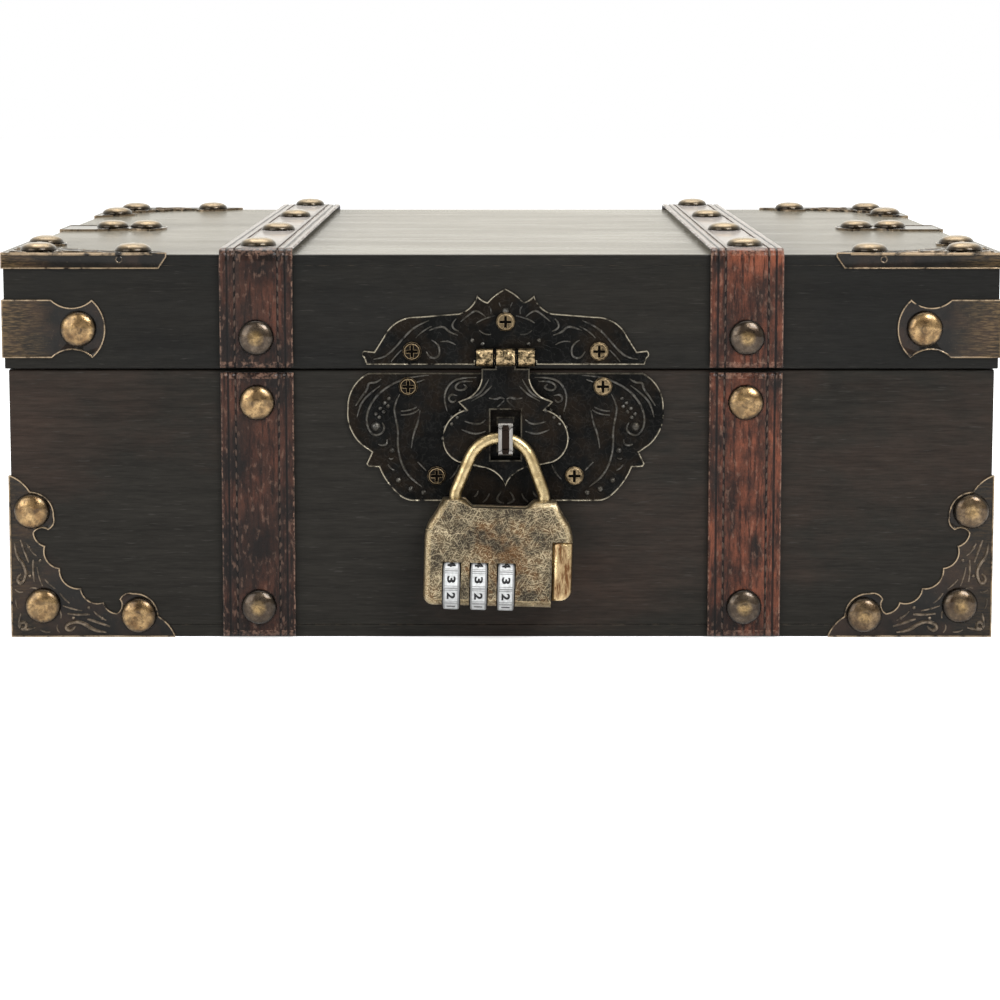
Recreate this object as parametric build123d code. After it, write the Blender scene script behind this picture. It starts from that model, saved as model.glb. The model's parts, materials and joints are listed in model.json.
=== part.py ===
from build123d import *
import os
from math import asin, atan2, hypot, pi, sin

# A low wooden chest: a box base and a shallow lid, dressed with leather straps, pressed metal
# corners, a hasp and a hanging combination padlock. All sizes are in millimetres. X runs to the
# right along the front, Y runs to the back and Z runs up from the floor, under the chest's middle.

# The carcass
lid_width = 269.0
lid_depth = 200.0
base_height = 73.8
lid_height = 31.1
lid_gap = 0.3
top_panel = 3.0
base_side_step = 0.8
base_front_step = 1.0
bottom_panel = 3.4
wall = 7.0
edge_round = 0.7

base_top_z = base_height
lid_bottom_z = base_top_z + lid_gap
lid_top_z = lid_bottom_z + lid_height
base_width = lid_width - 2 * base_side_step
lid_front_y = -lid_depth / 2
back_y = lid_depth / 2
base_front_y = lid_front_y + base_front_step
top_board_z = lid_top_z - top_panel

# Dome nails, with a shank that enters its hole with a little room
nail_radius = 4.9
nail_height = 2.2
nail_sides = 8
nail_crown_share = 0.62
nail_shoulder_share = 0.72
nail_shank = 1.5
nail_length = 5.6
hole_room = 0.05

# Pressed metal fittings
plate = 0.6
corner_leg = 44.2
corner_flange = 3.8
corner_flange_tip = 2.2
corner_leg_nail = 34.4
corner_edge_nail = 5.6
corner_inner_nail = 8.2

band_height = 15.8
band_rise = 11.0
band_leaf = 27.4
band_nail = 20.1
side_band_height = 19.0
side_band_leaf = 31.0
side_band_outer_nail = 14.3
side_band_inner_nail = 24.7

# Leather straps
strap_width = 20.2
strap = 2.0
strap_round = 1.2
strap_end = 0.6
lid_strap_nail_rise = 8.8
strap_low_nail_z = 8.8
strap_high_nail_drop = 8.7
top_strap_nails = 4
top_strap_nail_inset = 7.0

# The hasp: an upper plate and flap on the lid, a lower plate and staple on the base
hasp_x = 1.1
hasp_plate = 1.0
hasp_upper_half = 38.8
hasp_upper_rise = 1.3
hasp_lower_half = 42.9
hasp_lower_drop = 0.8
knuckle_rise = 3.6
knuckle_radius = 2.4
knuckle_stand = 3.5
knuckle_width = 5.2
middle_knuckle_width = 5.8
knuckle_room = 0.3
hasp_pin_radius = 0.9
running_room = 0.05
flap_length = 35.3
flap_stand = 1.3
flap_thickness = 1.2
flap_neck = 2.75
slot_half_width = 4.1
slot_top = 14.4
slot_bottom = 28.2
staple_width = 3.9
staple_bar = 1.5
staple_height = 9.0
staple_drop = 13.2
staple_reach = 8.8
staple_round = 1.3
staple_root = 5.0

screw_sides = 12
screw_radius = 2.6
screw_height = 1.1
screw_bevel = 0.5
screw_shank = 2.2
screw_length = 5.5
cross_length = 3.2
cross_width = 0.7
cross_depth = 0.7

# Butt hinges behind the chest
hinge_from_strap = 6.1
hinge_width = 24.0
hinge_leaf = 16.0
hinge_plate = 1.0
hinge_knuckle = 2.2
hinge_stand = 2.3
hinge_z = base_top_z + lid_gap / 2
hinge_room = 0.15
hinge_pin_radius = 1.0
hinge_screw_x = 7.5
hinge_screw_drop = 9.5

# The padlock hangs from the staple. Its own frame has its origin where the shackle's wire crosses
# the staple, Z up along the shackle's legs and Y to the back. It leans out a little, because its
# back rests against the lower plate, and it hangs slightly turned.
padlock_lean = 5.0
padlock_turn = 1.4
padlock_stand = 4.5
padlock_hang_room = 1.15
padlock_shift = -1.2
wire_radius = 1.65
wire_room = 0.1
leg_inset = 7.9
shoulder_z = -15.15
leg_round = 4.0
arch_inset = 3.0
body_top_z = -16.6
body_bottom_z = -45.0
body_half_width = 19.9
body_half_thickness = 5.5
body_corner_round = 2.7
hip_inset = 0.6
hip_z = -26.0
waist_inset = 2.6
waist_z = -20.6
top_inset = 4.6
top_recess_from_leg = 4.7
top_recess_depth = 2.0
long_leg_depth = 13.6
short_leg_depth = 7.2
opening_travel = 7.7
collar_radius = 2.1
collar_height = 1.2
collar_room = 0.15

dial_radius = 7.6
dial_width = 4.4
dial_room = 0.3
dial_z = -39.0
dial_inset = 7.5
dial_pitch = 7.33
dial_edge = 0.3
dial_figures = 10
dial_figure_turn = -25.8
spindle_radius = 1.6
spindle_inset = 2.9

slider_width = 5.4
slider_top_z = -27.5
slider_bottom_z = -43.2
slider_half_thickness = 5.2
slider_round = 3.2
slider_travel = 2.0
slider_room = 0.1
latch_gap = 0.25
latch_thickness = 1.0
latch_half_depth = 1.2
latch_nose = 1.1
latch_nose_height = 1.2
latch_top_z = -21.7
latch_room = 0.25

leg_x = body_half_width - leg_inset
arch_round = leg_x - arch_inset
slider_left_x = body_half_width - slider_width
latch_left_x = leg_x + wire_radius + latch_gap
dial_left_x = dial_inset - body_half_width
spindle_left_x = spindle_inset - body_half_width

# Heights that follow the lid's lower edge and the base's top
band_middle_z = lid_bottom_z + band_rise
lid_strap_nail_z = lid_bottom_z + lid_strap_nail_rise
strap_high_nail_z = base_top_z - strap_high_nail_drop
hasp_upper_bottom_z = lid_bottom_z + hasp_upper_rise
hasp_lower_top_z = base_top_z - hasp_lower_drop
knuckle_z = lid_bottom_z + knuckle_rise
staple_high_z = base_top_z - staple_drop
staple_low_z = staple_high_z - staple_height
padlock_z = staple_low_z + staple_bar + wire_radius + padlock_hang_room

# The shackle's arch touches the staple at its top, and its sides slope from there to the shoulders
arch_drop = arch_round + shoulder_z
arch_tilt = pi - asin(arch_round / hypot(leg_x, arch_drop)) - atan2(leg_x, arch_drop)
arch_z = arch_round * (1 / sin(arch_tilt) - 1)

# Outlines of the pressed fittings. Each table runs along half of an outline, as shares of the
# fitting's own size: a pair is a straight run's end, and two pairs are an arc's middle and end.
corner_shares = (
    ((0.066, 0.960), (0.118, 0.898)),
    ((0.226, 0.850), (0.262, 0.744)),
    ((0.253, 0.683), (0.224, 0.660)),
    ((0.172, 0.670), (0.136, 0.640)),
    ((0.158, 0.588), (0.206, 0.559)),
    ((0.217, 0.466), (0.294, 0.421)),
    ((0.299, 0.370), (0.326, 0.326)),
)
band_straight_share = 0.47
band_waist_shares = (0.68, 0.72)
band_cusp_share = 0.87
band_tip_shares = (0.94, 0.72)
hasp_upper_shares = (
    ((0.062, 0.495), (0.126, 0.436)),
    ((0.165, 0.454), (0.198, 0.485)),
    ((0.237, 0.412), (0.325, 0.358)),
    ((0.620, 0.335),),
    ((0.778, 0.284), (0.850, 0.193)),
    ((0.915, 0.090),),
    ((0.985, 0.098),),
    ((1.000, 0.075), (0.987, 0.049)),
    ((0.969, 0.000),),
)
hasp_upper_peak_share = 0.531
hasp_upper_screw_shares = ((-0.652, 0.095), (0.000, 0.302), (0.652, 0.095))
hasp_lower_shares = (
    ((0.867, 0.000),),
    ((0.974, -0.107), (1.000, -0.224)),
    ((0.984, -0.354), (0.909, -0.462)),
    ((0.846, -0.506),),
    ((0.881, -0.580),),
    ((0.869, -0.599),),
    ((0.802, -0.601),),
    ((0.760, -0.683), (0.676, -0.781)),
    ((0.636, -0.807), (0.583, -0.818)),
    ((0.298, -0.818),),
    ((0.198, -0.869), (0.000, -0.886)),
)
hasp_lower_screw_shares = ((-0.615, -0.084), (0.615, -0.084), (-0.436, -0.655), (0.436, -0.655))
flap_shoulder_share = 0.091
flap_shares = (
    ((0.184, -0.091),),
    ((0.184, -0.170),),
    ((0.227, -0.266), (0.329, -0.331)),
    ((0.363, -0.348),),
    ((0.303, -0.408),),
    ((0.431, -0.487), (0.482, -0.635)),
    ((0.450, -0.742), (0.357, -0.816)),
    ((0.184, -0.853),),
    ((0.096, -0.884), (0.000, -1.000)),
)

# The straps lie midway between the hasp and the corners, and the hinges just inside the straps
strap_x = (hasp_lower_half + base_width / 2 - corner_leg) / 2
hinge_x = strap_x - strap_width / 2 - hinge_width / 2 - hinge_from_strap

sides = {"left": -1, "right": 1}
ends = {"front": -1, "back": 1}
dial_steps = {"left": 0, "middle": 1, "right": 2}


# Shared shapes

def block(x, y, z):
    """A box between two values on each axis."""
    low, high = zip(sorted(x), sorted(y), sorted(z))
    size = [b - a for a, b in zip(low, high)]
    middle = [(a + b) / 2 for a, b in zip(low, high)]
    return Pos(*middle) * Box(*size)


def rod(radius, start, end):
    """A round rod between two points that differ along one axis."""
    run = Vector(*end) - Vector(*start)
    return extrude(Plane(Vector(*start), z_dir=run) * Circle(radius), run.length)


def half_edges(start, shares, size):
    """The edges of half an outline, from a start point through a table of shares."""
    edges = []
    here = start
    for step in shares:
        points = [(x * size, y * size) for x, y in step]
        if len(points) == 1:
            edges.append(Line(here, points[0]))
        else:
            edges.append(ThreePointArc(here, *points))
        here = points[-1]
    return edges


def mirrored_face(edges, mirror_plane, closing=()):
    """A flat face from half an outline, its mirror image and the edges that close them."""
    both = edges + [edge.mirror(mirror_plane) for edge in edges]
    return make_face(both + list(closing))


def front_plane(x, y, z):
    """A sketch plane that faces the viewer: its X is the chest's X and its Y is up."""
    return Plane((x, y, z), x_dir=(1, 0, 0), z_dir=(0, -1, 0))


def faceted_head(radius, height, shares, count):
    """A head with flat facets, from its rim up through rings at shares of its radius and height."""
    rings = [Plane((0, 0, 0)) * RegularPolygon(radius, count)]
    for width, level in shares:
        rings.append(Plane((0, 0, level * height)) * RegularPolygon(width * radius, count))
    return loft(rings, ruled=True)


def square_shank(width, length):
    return Pos(0, 0, -length / 2) * Box(width, width, length)


def nail():
    """A hammered dome nail on a square shank. The flat underside of its head is at zero."""
    shares = ((nail_shoulder_share, nail_crown_share), (1 - nail_shoulder_share, 1))
    head = faceted_head(nail_radius, nail_height, shares, nail_sides)
    return head + square_shank(nail_shank, nail_length)


def nail_hole():
    return square_shank(nail_shank + 2 * hole_room, nail_length + hole_room)


def screw():
    """A cross-head screw, its head's underside at zero."""
    flat_share = 1 - screw_bevel / screw_radius
    rim_share = 1 - screw_bevel / screw_height
    shares = ((1, rim_share), (flat_share, 1))
    head = faceted_head(screw_radius, screw_height, shares, screw_sides)
    for size in ((cross_length, cross_width), (cross_width, cross_length)):
        head -= Pos(0, 0, screw_height - cross_depth / 2) * Box(*size, cross_depth)
    return head + square_shank(screw_shank, screw_length)


def screw_hole():
    return square_shank(screw_shank + 2 * hole_room, screw_length + hole_room)


def at_each(places, shape):
    """A copy of one shape at each place. A place is a plane that faces outwards."""
    return [place * shape for place in places]


def cut_all(shape, tools):
    for tool in tools:
        shape -= tool
    return shape


# Where the nails and screws go

def outward(point, direction):
    return Plane(Vector(*point), z_dir=Vector(*direction))


def corner_plane(origin, along, across, normal):
    """The frame of a corner fitting's leaf: X and Y run along the two edges that it wraps."""
    along, across, normal = Vector(*along), Vector(*across), Vector(*normal)
    if normal.cross(along).dot(across) < 0:
        along, across = across, along
    return Plane(Vector(*origin), x_dir=along, z_dir=normal)


def lid_corner_plane(end, side):
    origin = (side * lid_width / 2, end * lid_depth / 2, lid_top_z)
    return corner_plane(origin, (-side, 0, 0), (0, -end, 0), (0, 0, 1))


def base_corner_plane(end, side):
    y = base_front_y if end < 0 else back_y
    return corner_plane((side * base_width / 2, y, plate), (-side, 0, 0), (0, 0, 1), (0, end, 0))


def corner_nail_places(frame):
    spots = (
        (corner_edge_nail, corner_leg_nail),
        (corner_leg_nail, corner_edge_nail),
        (corner_inner_nail, corner_inner_nail),
    )
    return [frame * Pos(x, y, plate) for x, y in spots]


def band_places():
    """The nails of the four bands round the lid's upright corners."""
    places = []
    for end in ends.values():
        for side in sides.values():
            x = side * (lid_width / 2 - band_nail)
            y = end * (lid_depth / 2 - band_nail)
            places.append(outward((x, end * (lid_depth / 2 + plate), band_middle_z), (0, end, 0)))
            places.append(outward((side * (lid_width / 2 + plate), y, band_middle_z), (side, 0, 0)))
    return places


def side_band_places(side):
    """The nails of a band over the middle of one side edge of the lid."""
    edge = lid_width / 2
    insets = (side_band_outer_nail, side_band_inner_nail)
    top = [outward((side * (edge - inset), 0, lid_top_z + plate), (0, 0, 1)) for inset in insets]
    low_z = lid_top_z - band_nail
    return top + [outward((side * (edge + plate), 0, low_z), (side, 0, 0))]


def lid_strap_places(x):
    places = [
        outward((x, end * (lid_depth / 2 + strap), lid_strap_nail_z), (0, end, 0))
        for end in ends.values()
    ]
    run = lid_depth - 2 * top_strap_nail_inset
    for index in range(top_strap_nails):
        y = lid_front_y + top_strap_nail_inset + run * index / (top_strap_nails - 1)
        places.append(outward((x, y, lid_top_z + strap), (0, 0, 1)))
    return places


def base_strap_places(x, end):
    y = base_front_y - strap if end < 0 else back_y + strap
    return [outward((x, y, z), (0, end, 0)) for z in (strap_low_nail_z, strap_high_nail_z)]


def hasp_screw_places(shares, half_width, plate_z, back):
    """The screws of a hasp plate, whose table of shares runs from the plate's hinge edge."""
    y = back - hasp_plate
    return [
        outward((hasp_x + x * half_width, y, plate_z + z * half_width), (0, -1, 0))
        for x, z in shares
    ]


def hinge_screw_places(side, way):
    """Two screws in one leaf of a rear hinge: way is 1 for the lid's leaf and -1 for the base's."""
    z = hinge_z + way * hinge_screw_drop
    return [
        outward((side * hinge_x + turn * hinge_screw_x, back_y + hinge_plate, z), (0, 1, 0))
        for turn in sides.values()
    ]


base_corner_places = [
    place
    for end in ends.values()
    for side in sides.values()
    for place in corner_nail_places(base_corner_plane(end, side))
]
lid_corner_places = [
    place
    for end in ends.values()
    for side in sides.values()
    for place in corner_nail_places(lid_corner_plane(end, side))
]
all_band_places = band_places() + side_band_places(-1) + side_band_places(1)
all_lid_strap_places = lid_strap_places(-strap_x) + lid_strap_places(strap_x)
all_base_strap_places = [
    place
    for end in ends.values()
    for side in sides.values()
    for place in base_strap_places(side * strap_x, end)
]
upper_screw_places = hasp_screw_places(
    hasp_upper_screw_shares, hasp_upper_half, hasp_upper_bottom_z, lid_front_y
)
lower_screw_places = hasp_screw_places(
    hasp_lower_screw_shares, hasp_lower_half, hasp_lower_top_z, base_front_y
)
lid_hinge_places = hinge_screw_places(-1, 1) + hinge_screw_places(1, 1)
base_hinge_places = hinge_screw_places(-1, -1) + hinge_screw_places(1, -1)

lid_holes = at_each(lid_corner_places + all_band_places + all_lid_strap_places, nail_hole())
lid_holes += at_each(upper_screw_places + lid_hinge_places, screw_hole())
base_holes = at_each(base_corner_places + all_base_strap_places, nail_hole())
base_holes += at_each(lower_screw_places + base_hinge_places, screw_hole())


def drilled(board, holes):
    """A board with the holes that reach it."""
    box = board.bounding_box()
    near = [hole for hole in holes if box.overlaps(hole.bounding_box())]
    return cut_all(board, near)


def softened(board, level):
    """A wall with the long edges at its bottom (level 0) or top (level -1) rounded over."""
    along = Axis.X if board.bounding_box().size.X > board.bounding_box().size.Y else Axis.Y
    edges = board.edges().filter_by(along).group_by(Axis.Z)[level]
    return fillet(edges, edge_round)


# The base

def base_boards():
    half = base_width / 2
    z = (bottom_panel, base_top_z)
    front = block((-half, half), (base_front_y, base_front_y + wall), z)
    front = cut_all(front, staple_slots())
    boards = {"base_front_board": front}
    boards["base_back_board"] = block((-half, half), (back_y - wall, back_y), z)
    between = (base_front_y + wall, back_y - wall)
    for name, side in sides.items():
        boards[f"base_{name}_board"] = block((side * half, side * (half - wall)), between, z)
    boards = {name: softened(board, -1) for name, board in boards.items()}
    bottom = block((-half, half), (base_front_y, back_y), (0, bottom_panel))
    for end in ends.values():
        for side in sides.values():
            bottom -= corner_blank(base_corner_plane(end, side))
    boards["base_bottom_panel"] = bottom
    return {name: drilled(board, base_holes) for name, board in boards.items()}


# The lid

def lid_boards():
    half = lid_width / 2
    z = (lid_bottom_z, top_board_z)
    boards = {"lid_front_board": block((-half, half), (lid_front_y, lid_front_y + wall), z)}
    boards["lid_back_board"] = block((-half, half), (back_y - wall, back_y), z)
    between = (lid_front_y + wall, back_y - wall)
    for name, side in sides.items():
        boards[f"lid_{name}_board"] = block((side * half, side * (half - wall)), between, z)
    boards = {name: softened(board, 0) for name, board in boards.items()}
    boards["lid_top_panel"] = lid_panel()
    return {name: drilled(board, lid_holes) for name, board in boards.items()}


def lid_panel():
    half = lid_width / 2
    panel = block((-half, half), (lid_front_y, back_y), (top_board_z, lid_top_z))
    return fillet(panel.edges().group_by(Axis.Z)[-1], edge_round)


# Pressed corners and bands

def flange_profile():
    """A corner's flange, drawn along its edge: it narrows to a point at its end."""
    return make_face(Polyline(
        (-plate, plate),
        (corner_leg, plate),
        (corner_leg, -plate),
        (corner_leg - corner_flange_tip, -corner_flange),
        (-plate, -corner_flange),
        close=True,
    ))


def corner_blank(frame):
    """The two flanges of a corner fitting, as pockets need them."""
    first = extrude(Plane.XZ * flange_profile(), plate)
    second = first.mirror(Plane((0, 0, 0), z_dir=(1, -1, 0)))
    return frame * (first + second)


def corner_fitting(frame):
    """A leaf with a scrolled inner edge, and a narrow flange over each of the two edges."""
    diagonal = Plane((0, 0, 0), z_dir=(1, -1, 0))
    half = half_edges((0, corner_leg), corner_shares, corner_leg)
    sides_of_leaf = [Line((0, 0), (0, corner_leg)), Line((0, 0), (corner_leg, 0))]
    leaf = extrude(mirrored_face(half, diagonal, sides_of_leaf), plate)
    fitting = frame * leaf + corner_blank(frame)
    return cut_all(fitting, at_each(corner_nail_places(frame), nail_hole()))


def band_edges(height, length):
    """One leaf of a band, from its edge to a fishtail end with a round tip."""
    half = height / 2
    waist_at, waist = band_waist_shares
    tip_at, tip = band_tip_shares
    edges = [
        Line((-plate, half), (band_straight_share * length, half)),
        ThreePointArc(
            (band_straight_share * length, half),
            (waist_at * length, waist * half),
            (band_cusp_share * length, half),
        ),
        ThreePointArc(
            (band_cusp_share * length, half),
            (tip_at * length, tip * half),
            (length, 0),
        ),
    ]
    return mirrored_face(edges, Plane.XZ, [Line((-plate, half), (-plate, -half))])


def band_leaf_on(height, length, frame):
    return frame * extrude(band_edges(height, length), plate)


def corner_band(end, side):
    """A band round one upright corner of the lid."""
    corner = (side * lid_width / 2, end * lid_depth / 2, band_middle_z)
    along = Plane(corner, x_dir=(-side, 0, 0), z_dir=(0, end, 0))
    across = Plane(corner, x_dir=(0, -end, 0), z_dir=(side, 0, 0))
    band = band_leaf_on(band_height, band_leaf, along) + band_leaf_on(band_height, band_leaf, across)
    return cut_all(band, at_each(band_places(), nail_hole()))


def side_band(side):
    """A band over the middle of one side edge, down the side and in across the top."""
    corner = (side * lid_width / 2, 0, lid_top_z)
    over = Plane(corner, x_dir=(-side, 0, 0), z_dir=(0, 0, 1))
    down = Plane(corner, x_dir=(0, 0, -1), z_dir=(side, 0, 0))
    band = band_leaf_on(side_band_height, side_band_leaf, over)
    band += band_leaf_on(side_band_height, band_leaf, down)
    return cut_all(band, at_each(side_band_places(side), nail_hole()))


# Leather straps

def lid_strap(x):
    """One strap over the lid, down its front and its back."""
    low = lid_bottom_z + strap_end
    outer = block(
        (x - strap_width / 2, x + strap_width / 2),
        (lid_front_y - strap, back_y + strap),
        (low, lid_top_z + strap),
    )
    bends = outer.edges().filter_by(Axis.X).group_by(Axis.Z)[-1]
    outer = fillet(bends, strap_round)
    inner = block((x - strap_width, x + strap_width), (lid_front_y, back_y), (low - strap, lid_top_z))
    return cut_all(outer - inner, at_each(lid_strap_places(x), nail_hole()))


def base_strap(x, end):
    y = base_front_y if end < 0 else back_y
    piece = block(
        (x - strap_width / 2, x + strap_width / 2),
        (y, y + end * strap),
        (strap_end, base_top_z - strap_end),
    )
    return cut_all(piece, at_each(base_strap_places(x, end), nail_hole()))


# The hasp

knuckle_y = lid_front_y - knuckle_stand
middle_half = middle_knuckle_width / 2
knuckle_inner = middle_half + knuckle_room / 2
knuckle_outer = knuckle_inner + knuckle_width


def knuckle(low_x, high_x, bore):
    """A curled knuckle on the hasp's pin, between two X values, and the bore through it."""
    low, high = sorted((hasp_x + low_x, hasp_x + high_x))
    ring = rod(knuckle_radius, (low, knuckle_y, knuckle_z), (high, knuckle_y, knuckle_z))
    hole = rod(bore, (low - plate, knuckle_y, knuckle_z), (high + plate, knuckle_y, knuckle_z))
    return ring, hole


def hasp_upper_plate():
    """The plate on the lid, with a tab that curls under each outer knuckle."""
    frame = front_plane(hasp_x, lid_front_y, hasp_upper_bottom_z)
    peak = (0, hasp_upper_peak_share * hasp_upper_half)
    half = half_edges(peak, hasp_upper_shares, hasp_upper_half)
    end_x = hasp_upper_shares[-1][-1][0] * hasp_upper_half
    face = mirrored_face(half, Plane.YZ, [Line((-end_x, 0), (end_x, 0))])
    body = frame * extrude(face, hasp_plate)
    body = cut_all(body, at_each(upper_screw_places, screw_hole()))
    holes = []
    for side in sides.values():
        ring, hole = knuckle(side * knuckle_inner, side * knuckle_outer, hasp_pin_radius)
        tab = block(
            (hasp_x + side * knuckle_inner, hasp_x + side * knuckle_outer),
            (lid_front_y - hasp_plate / 2, knuckle_y),
            (knuckle_z - knuckle_radius, knuckle_z - knuckle_radius + hasp_plate),
        )
        body += ring + tab
        holes.append(hole)
    return cut_all(body, holes)


def hasp_flap():
    """The butterfly flap that hangs from the middle knuckle and drops over the staple."""
    frame = front_plane(hasp_x, lid_front_y - flap_stand, knuckle_z)
    start = (flap_neck, -flap_shoulder_share * flap_length)
    half = half_edges(start, flap_shares, flap_length)
    shoulder = Line((-flap_neck, start[1]), start)
    leaf = frame * extrude(mirrored_face(half, Plane.YZ, [shoulder]), flap_thickness)
    neck = frame * extrude(
        Pos(0, start[1] / 2) * Rectangle(2 * flap_neck, -start[1]), flap_thickness
    )
    slot = frame * extrude(
        Pos(0, -(slot_top + slot_bottom) / 2) * Rectangle(2 * slot_half_width, slot_bottom - slot_top),
        flap_thickness,
    )
    ring, hole = knuckle(-middle_half, middle_half, hasp_pin_radius + running_room)
    return (leaf + neck + ring) - slot - hole


def hasp_pin():
    return rod(
        hasp_pin_radius,
        (hasp_x - knuckle_outer, knuckle_y, knuckle_z),
        (hasp_x + knuckle_outer, knuckle_y, knuckle_z),
    )


def hasp_lower_plate():
    frame = front_plane(hasp_x, base_front_y, hasp_lower_top_z)
    half = half_edges((0, 0), hasp_lower_shares, hasp_lower_half)
    body = frame * extrude(mirrored_face(half, Plane.YZ), hasp_plate)
    return cut_all(body, at_each(lower_screw_places, screw_hole()) + staple_slots())


def staple_slots():
    """The two slots that the staple's arms pass through, in the plate and in the board."""
    room = hole_room
    half = staple_width / 2 + room
    arms = ((staple_low_z, staple_low_z + staple_bar), (staple_high_z - staple_bar, staple_high_z))
    return [
        block(
            (hasp_x - half, hasp_x + half),
            (base_front_y - hasp_plate, base_front_y + staple_root + room),
            (low - room, high + room),
        )
        for low, high in arms
    ]


def staple():
    """A flat bar bent into a loop that stands out through the flap's slot."""
    front = base_front_y - hasp_plate - staple_reach
    outer = block(
        (hasp_x - staple_width / 2, hasp_x + staple_width / 2),
        (front, base_front_y + staple_root),
        (staple_low_z, staple_high_z),
    )
    outer = fillet(outer.edges().filter_by(Axis.X).group_by(Axis.Y)[0], staple_round)
    inner = block(
        (hasp_x - staple_width, hasp_x + staple_width),
        (front + staple_bar, base_front_y + staple_root + staple_bar),
        (staple_low_z + staple_bar, staple_high_z - staple_bar),
    )
    return outer - inner


# The rear hinges

def hinge_spans():
    """The X spans of a hinge's three knuckles: the base's two and, between them, the lid's."""
    third = hinge_width / 3
    half = hinge_width / 2
    outer = ((-half, -half + third - hinge_room), (half - third + hinge_room, half))
    return {"base": outer, "lid": ((-half + third, half - third),)}


def hinge_leaf_piece(side, owner):
    """One leaf of a rear hinge, with its own knuckles and room for the other's."""
    x = side * hinge_x
    way = 1 if owner == "lid" else -1
    axis_y = back_y + hinge_stand
    other = "base" if owner == "lid" else "lid"
    leaf = block(
        (x - hinge_width / 2, x + hinge_width / 2),
        (back_y, back_y + hinge_plate),
        (hinge_z, hinge_z + way * hinge_leaf),
    )
    places = hinge_screw_places(side, way)
    leaf = cut_all(leaf, at_each(places, screw_hole()))
    for low, high in hinge_spans()[other]:
        clearance = hinge_knuckle + running_room + hinge_room
        room = hinge_room
        leaf -= rod(clearance, (x + low - room, axis_y, hinge_z), (x + high + room, axis_y, hinge_z))
    for low, high in hinge_spans()[owner]:
        ring = rod(hinge_knuckle, (x + low, axis_y, hinge_z), (x + high, axis_y, hinge_z))
        web = block((x + low, x + high), (back_y, axis_y), (hinge_z, hinge_z + way * hinge_plate))
        leaf += ring + web
    bore = hinge_pin_radius + (running_room if owner == "lid" else 0)
    return leaf - rod(bore, (x - hinge_width, axis_y, hinge_z), (x + hinge_width, axis_y, hinge_z))


def hinge_pin(side):
    x = side * hinge_x
    y = back_y + hinge_stand
    return rod(hinge_pin_radius, (x - hinge_width / 2, y, hinge_z), (x + hinge_width / 2, y, hinge_z))


# The padlock, drawn in its own frame and then hung on the staple

def hung(shape):
    """A piece of the padlock, moved from the padlock's frame to its place on the staple."""
    wire_y = base_front_y - hasp_plate - padlock_stand
    place = Pos(hasp_x, wire_y, padlock_z) * Rot(-padlock_lean, 0, 0) * Rot(0, padlock_turn, 0)
    return place * Pos(padlock_shift, 0, 0) * shape


def shackle():
    """A round wire arch with one long and one short leg; the long one ends in a collar."""
    long_end = body_top_z - long_leg_depth
    short_end = body_top_z - short_leg_depth
    path = FilletPolyline(
        (-leg_x, 0, long_end),
        (-leg_x, 0, shoulder_z),
        (0, 0, arch_z),
        (leg_x, 0, shoulder_z),
        (leg_x, 0, short_end),
        radius=[leg_round, arch_round, leg_round],
    )
    runs = [sweep(Plane(run @ 0, z_dir=run % 0) * Circle(wire_radius), run) for run in path.edges()]
    wire = runs[0].fuse(*runs[1:])
    wire += rod(collar_radius, (-leg_x, 0, long_end), (-leg_x, 0, long_end + collar_height))
    return wire - latch_flat()


def latch_flat():
    """The flat on the short leg's end, beside the latch's nose."""
    nose_x = latch_left_x - latch_nose
    return block(
        (nose_x - latch_room, leg_x + 2 * wire_radius),
        (-2 * wire_radius, 2 * wire_radius),
        (body_top_z - short_leg_depth - latch_room, latch_top_z + latch_room),
    )


def body_outline():
    """The body as seen from the front: a bag with sloping shoulders, cut square at lower right."""
    right = slider_left_x - slider_room
    hip = body_half_width - hip_inset
    waist = body_half_width - waist_inset
    top = body_half_width - top_inset
    recess = leg_x - top_recess_from_leg
    shoulders = [
        (body_half_width, hip_z),
        (hip, (hip_z + waist_z) / 2),
        (waist, waist_z),
        (top, body_top_z),
        (recess + top_recess_depth, body_top_z),
        (recess, body_top_z - top_recess_depth),
    ]
    left = [(-x, z) for x, z in shoulders]
    lower_right = [
        (body_half_width, slider_top_z + slider_room),
        (right, slider_top_z + slider_room),
        (right, body_bottom_z),
    ]
    outline = make_face(Polyline(
        (-body_half_width, body_bottom_z), *left, *reversed(shoulders), *lower_right, close=True
    ))
    lower_left = outline.vertices().group_by(Axis.Y)[0].sort_by(Axis.X)[0]
    return fillet(lower_left, body_corner_round)


def padlock_shell(end):
    """The front or back half of the padlock's body, with room for everything inside."""
    frame = Plane.XZ if end < 0 else Plane.XZ.offset(-body_half_thickness)
    shell = extrude(frame * body_outline(), body_half_thickness)
    bore = wire_radius + wire_room
    long_end = body_top_z - long_leg_depth - collar_room
    short_end = body_top_z - short_leg_depth - collar_room
    collar_top = long_end + opening_travel + collar_height + 2 * collar_room
    cuts = [
        rod(bore, (-leg_x, 0, long_end), (-leg_x, 0, shoulder_z)),
        rod(bore, (leg_x, 0, short_end), (leg_x, 0, shoulder_z)),
        rod(collar_radius + collar_room, (-leg_x, 0, long_end), (-leg_x, 0, collar_top)),
        rod(spindle_radius + wire_room, (spindle_left_x - wire_room, 0, dial_z), (slider_left_x, 0, dial_z)),
        latch_pocket(),
    ]
    for step in dial_steps.values():
        x = dial_left_x + step * dial_pitch
        half = dial_width / 2 + dial_room
        cuts.append(rod(dial_radius + dial_room, (x - half, 0, dial_z), (x + half, 0, dial_z)))
        window_z = (dial_z, body_bottom_z - dial_room)
        cuts.append(block((x - half, x + half), (-dial_radius, dial_radius), window_z))
    return cut_all(shell, cuts)


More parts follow.
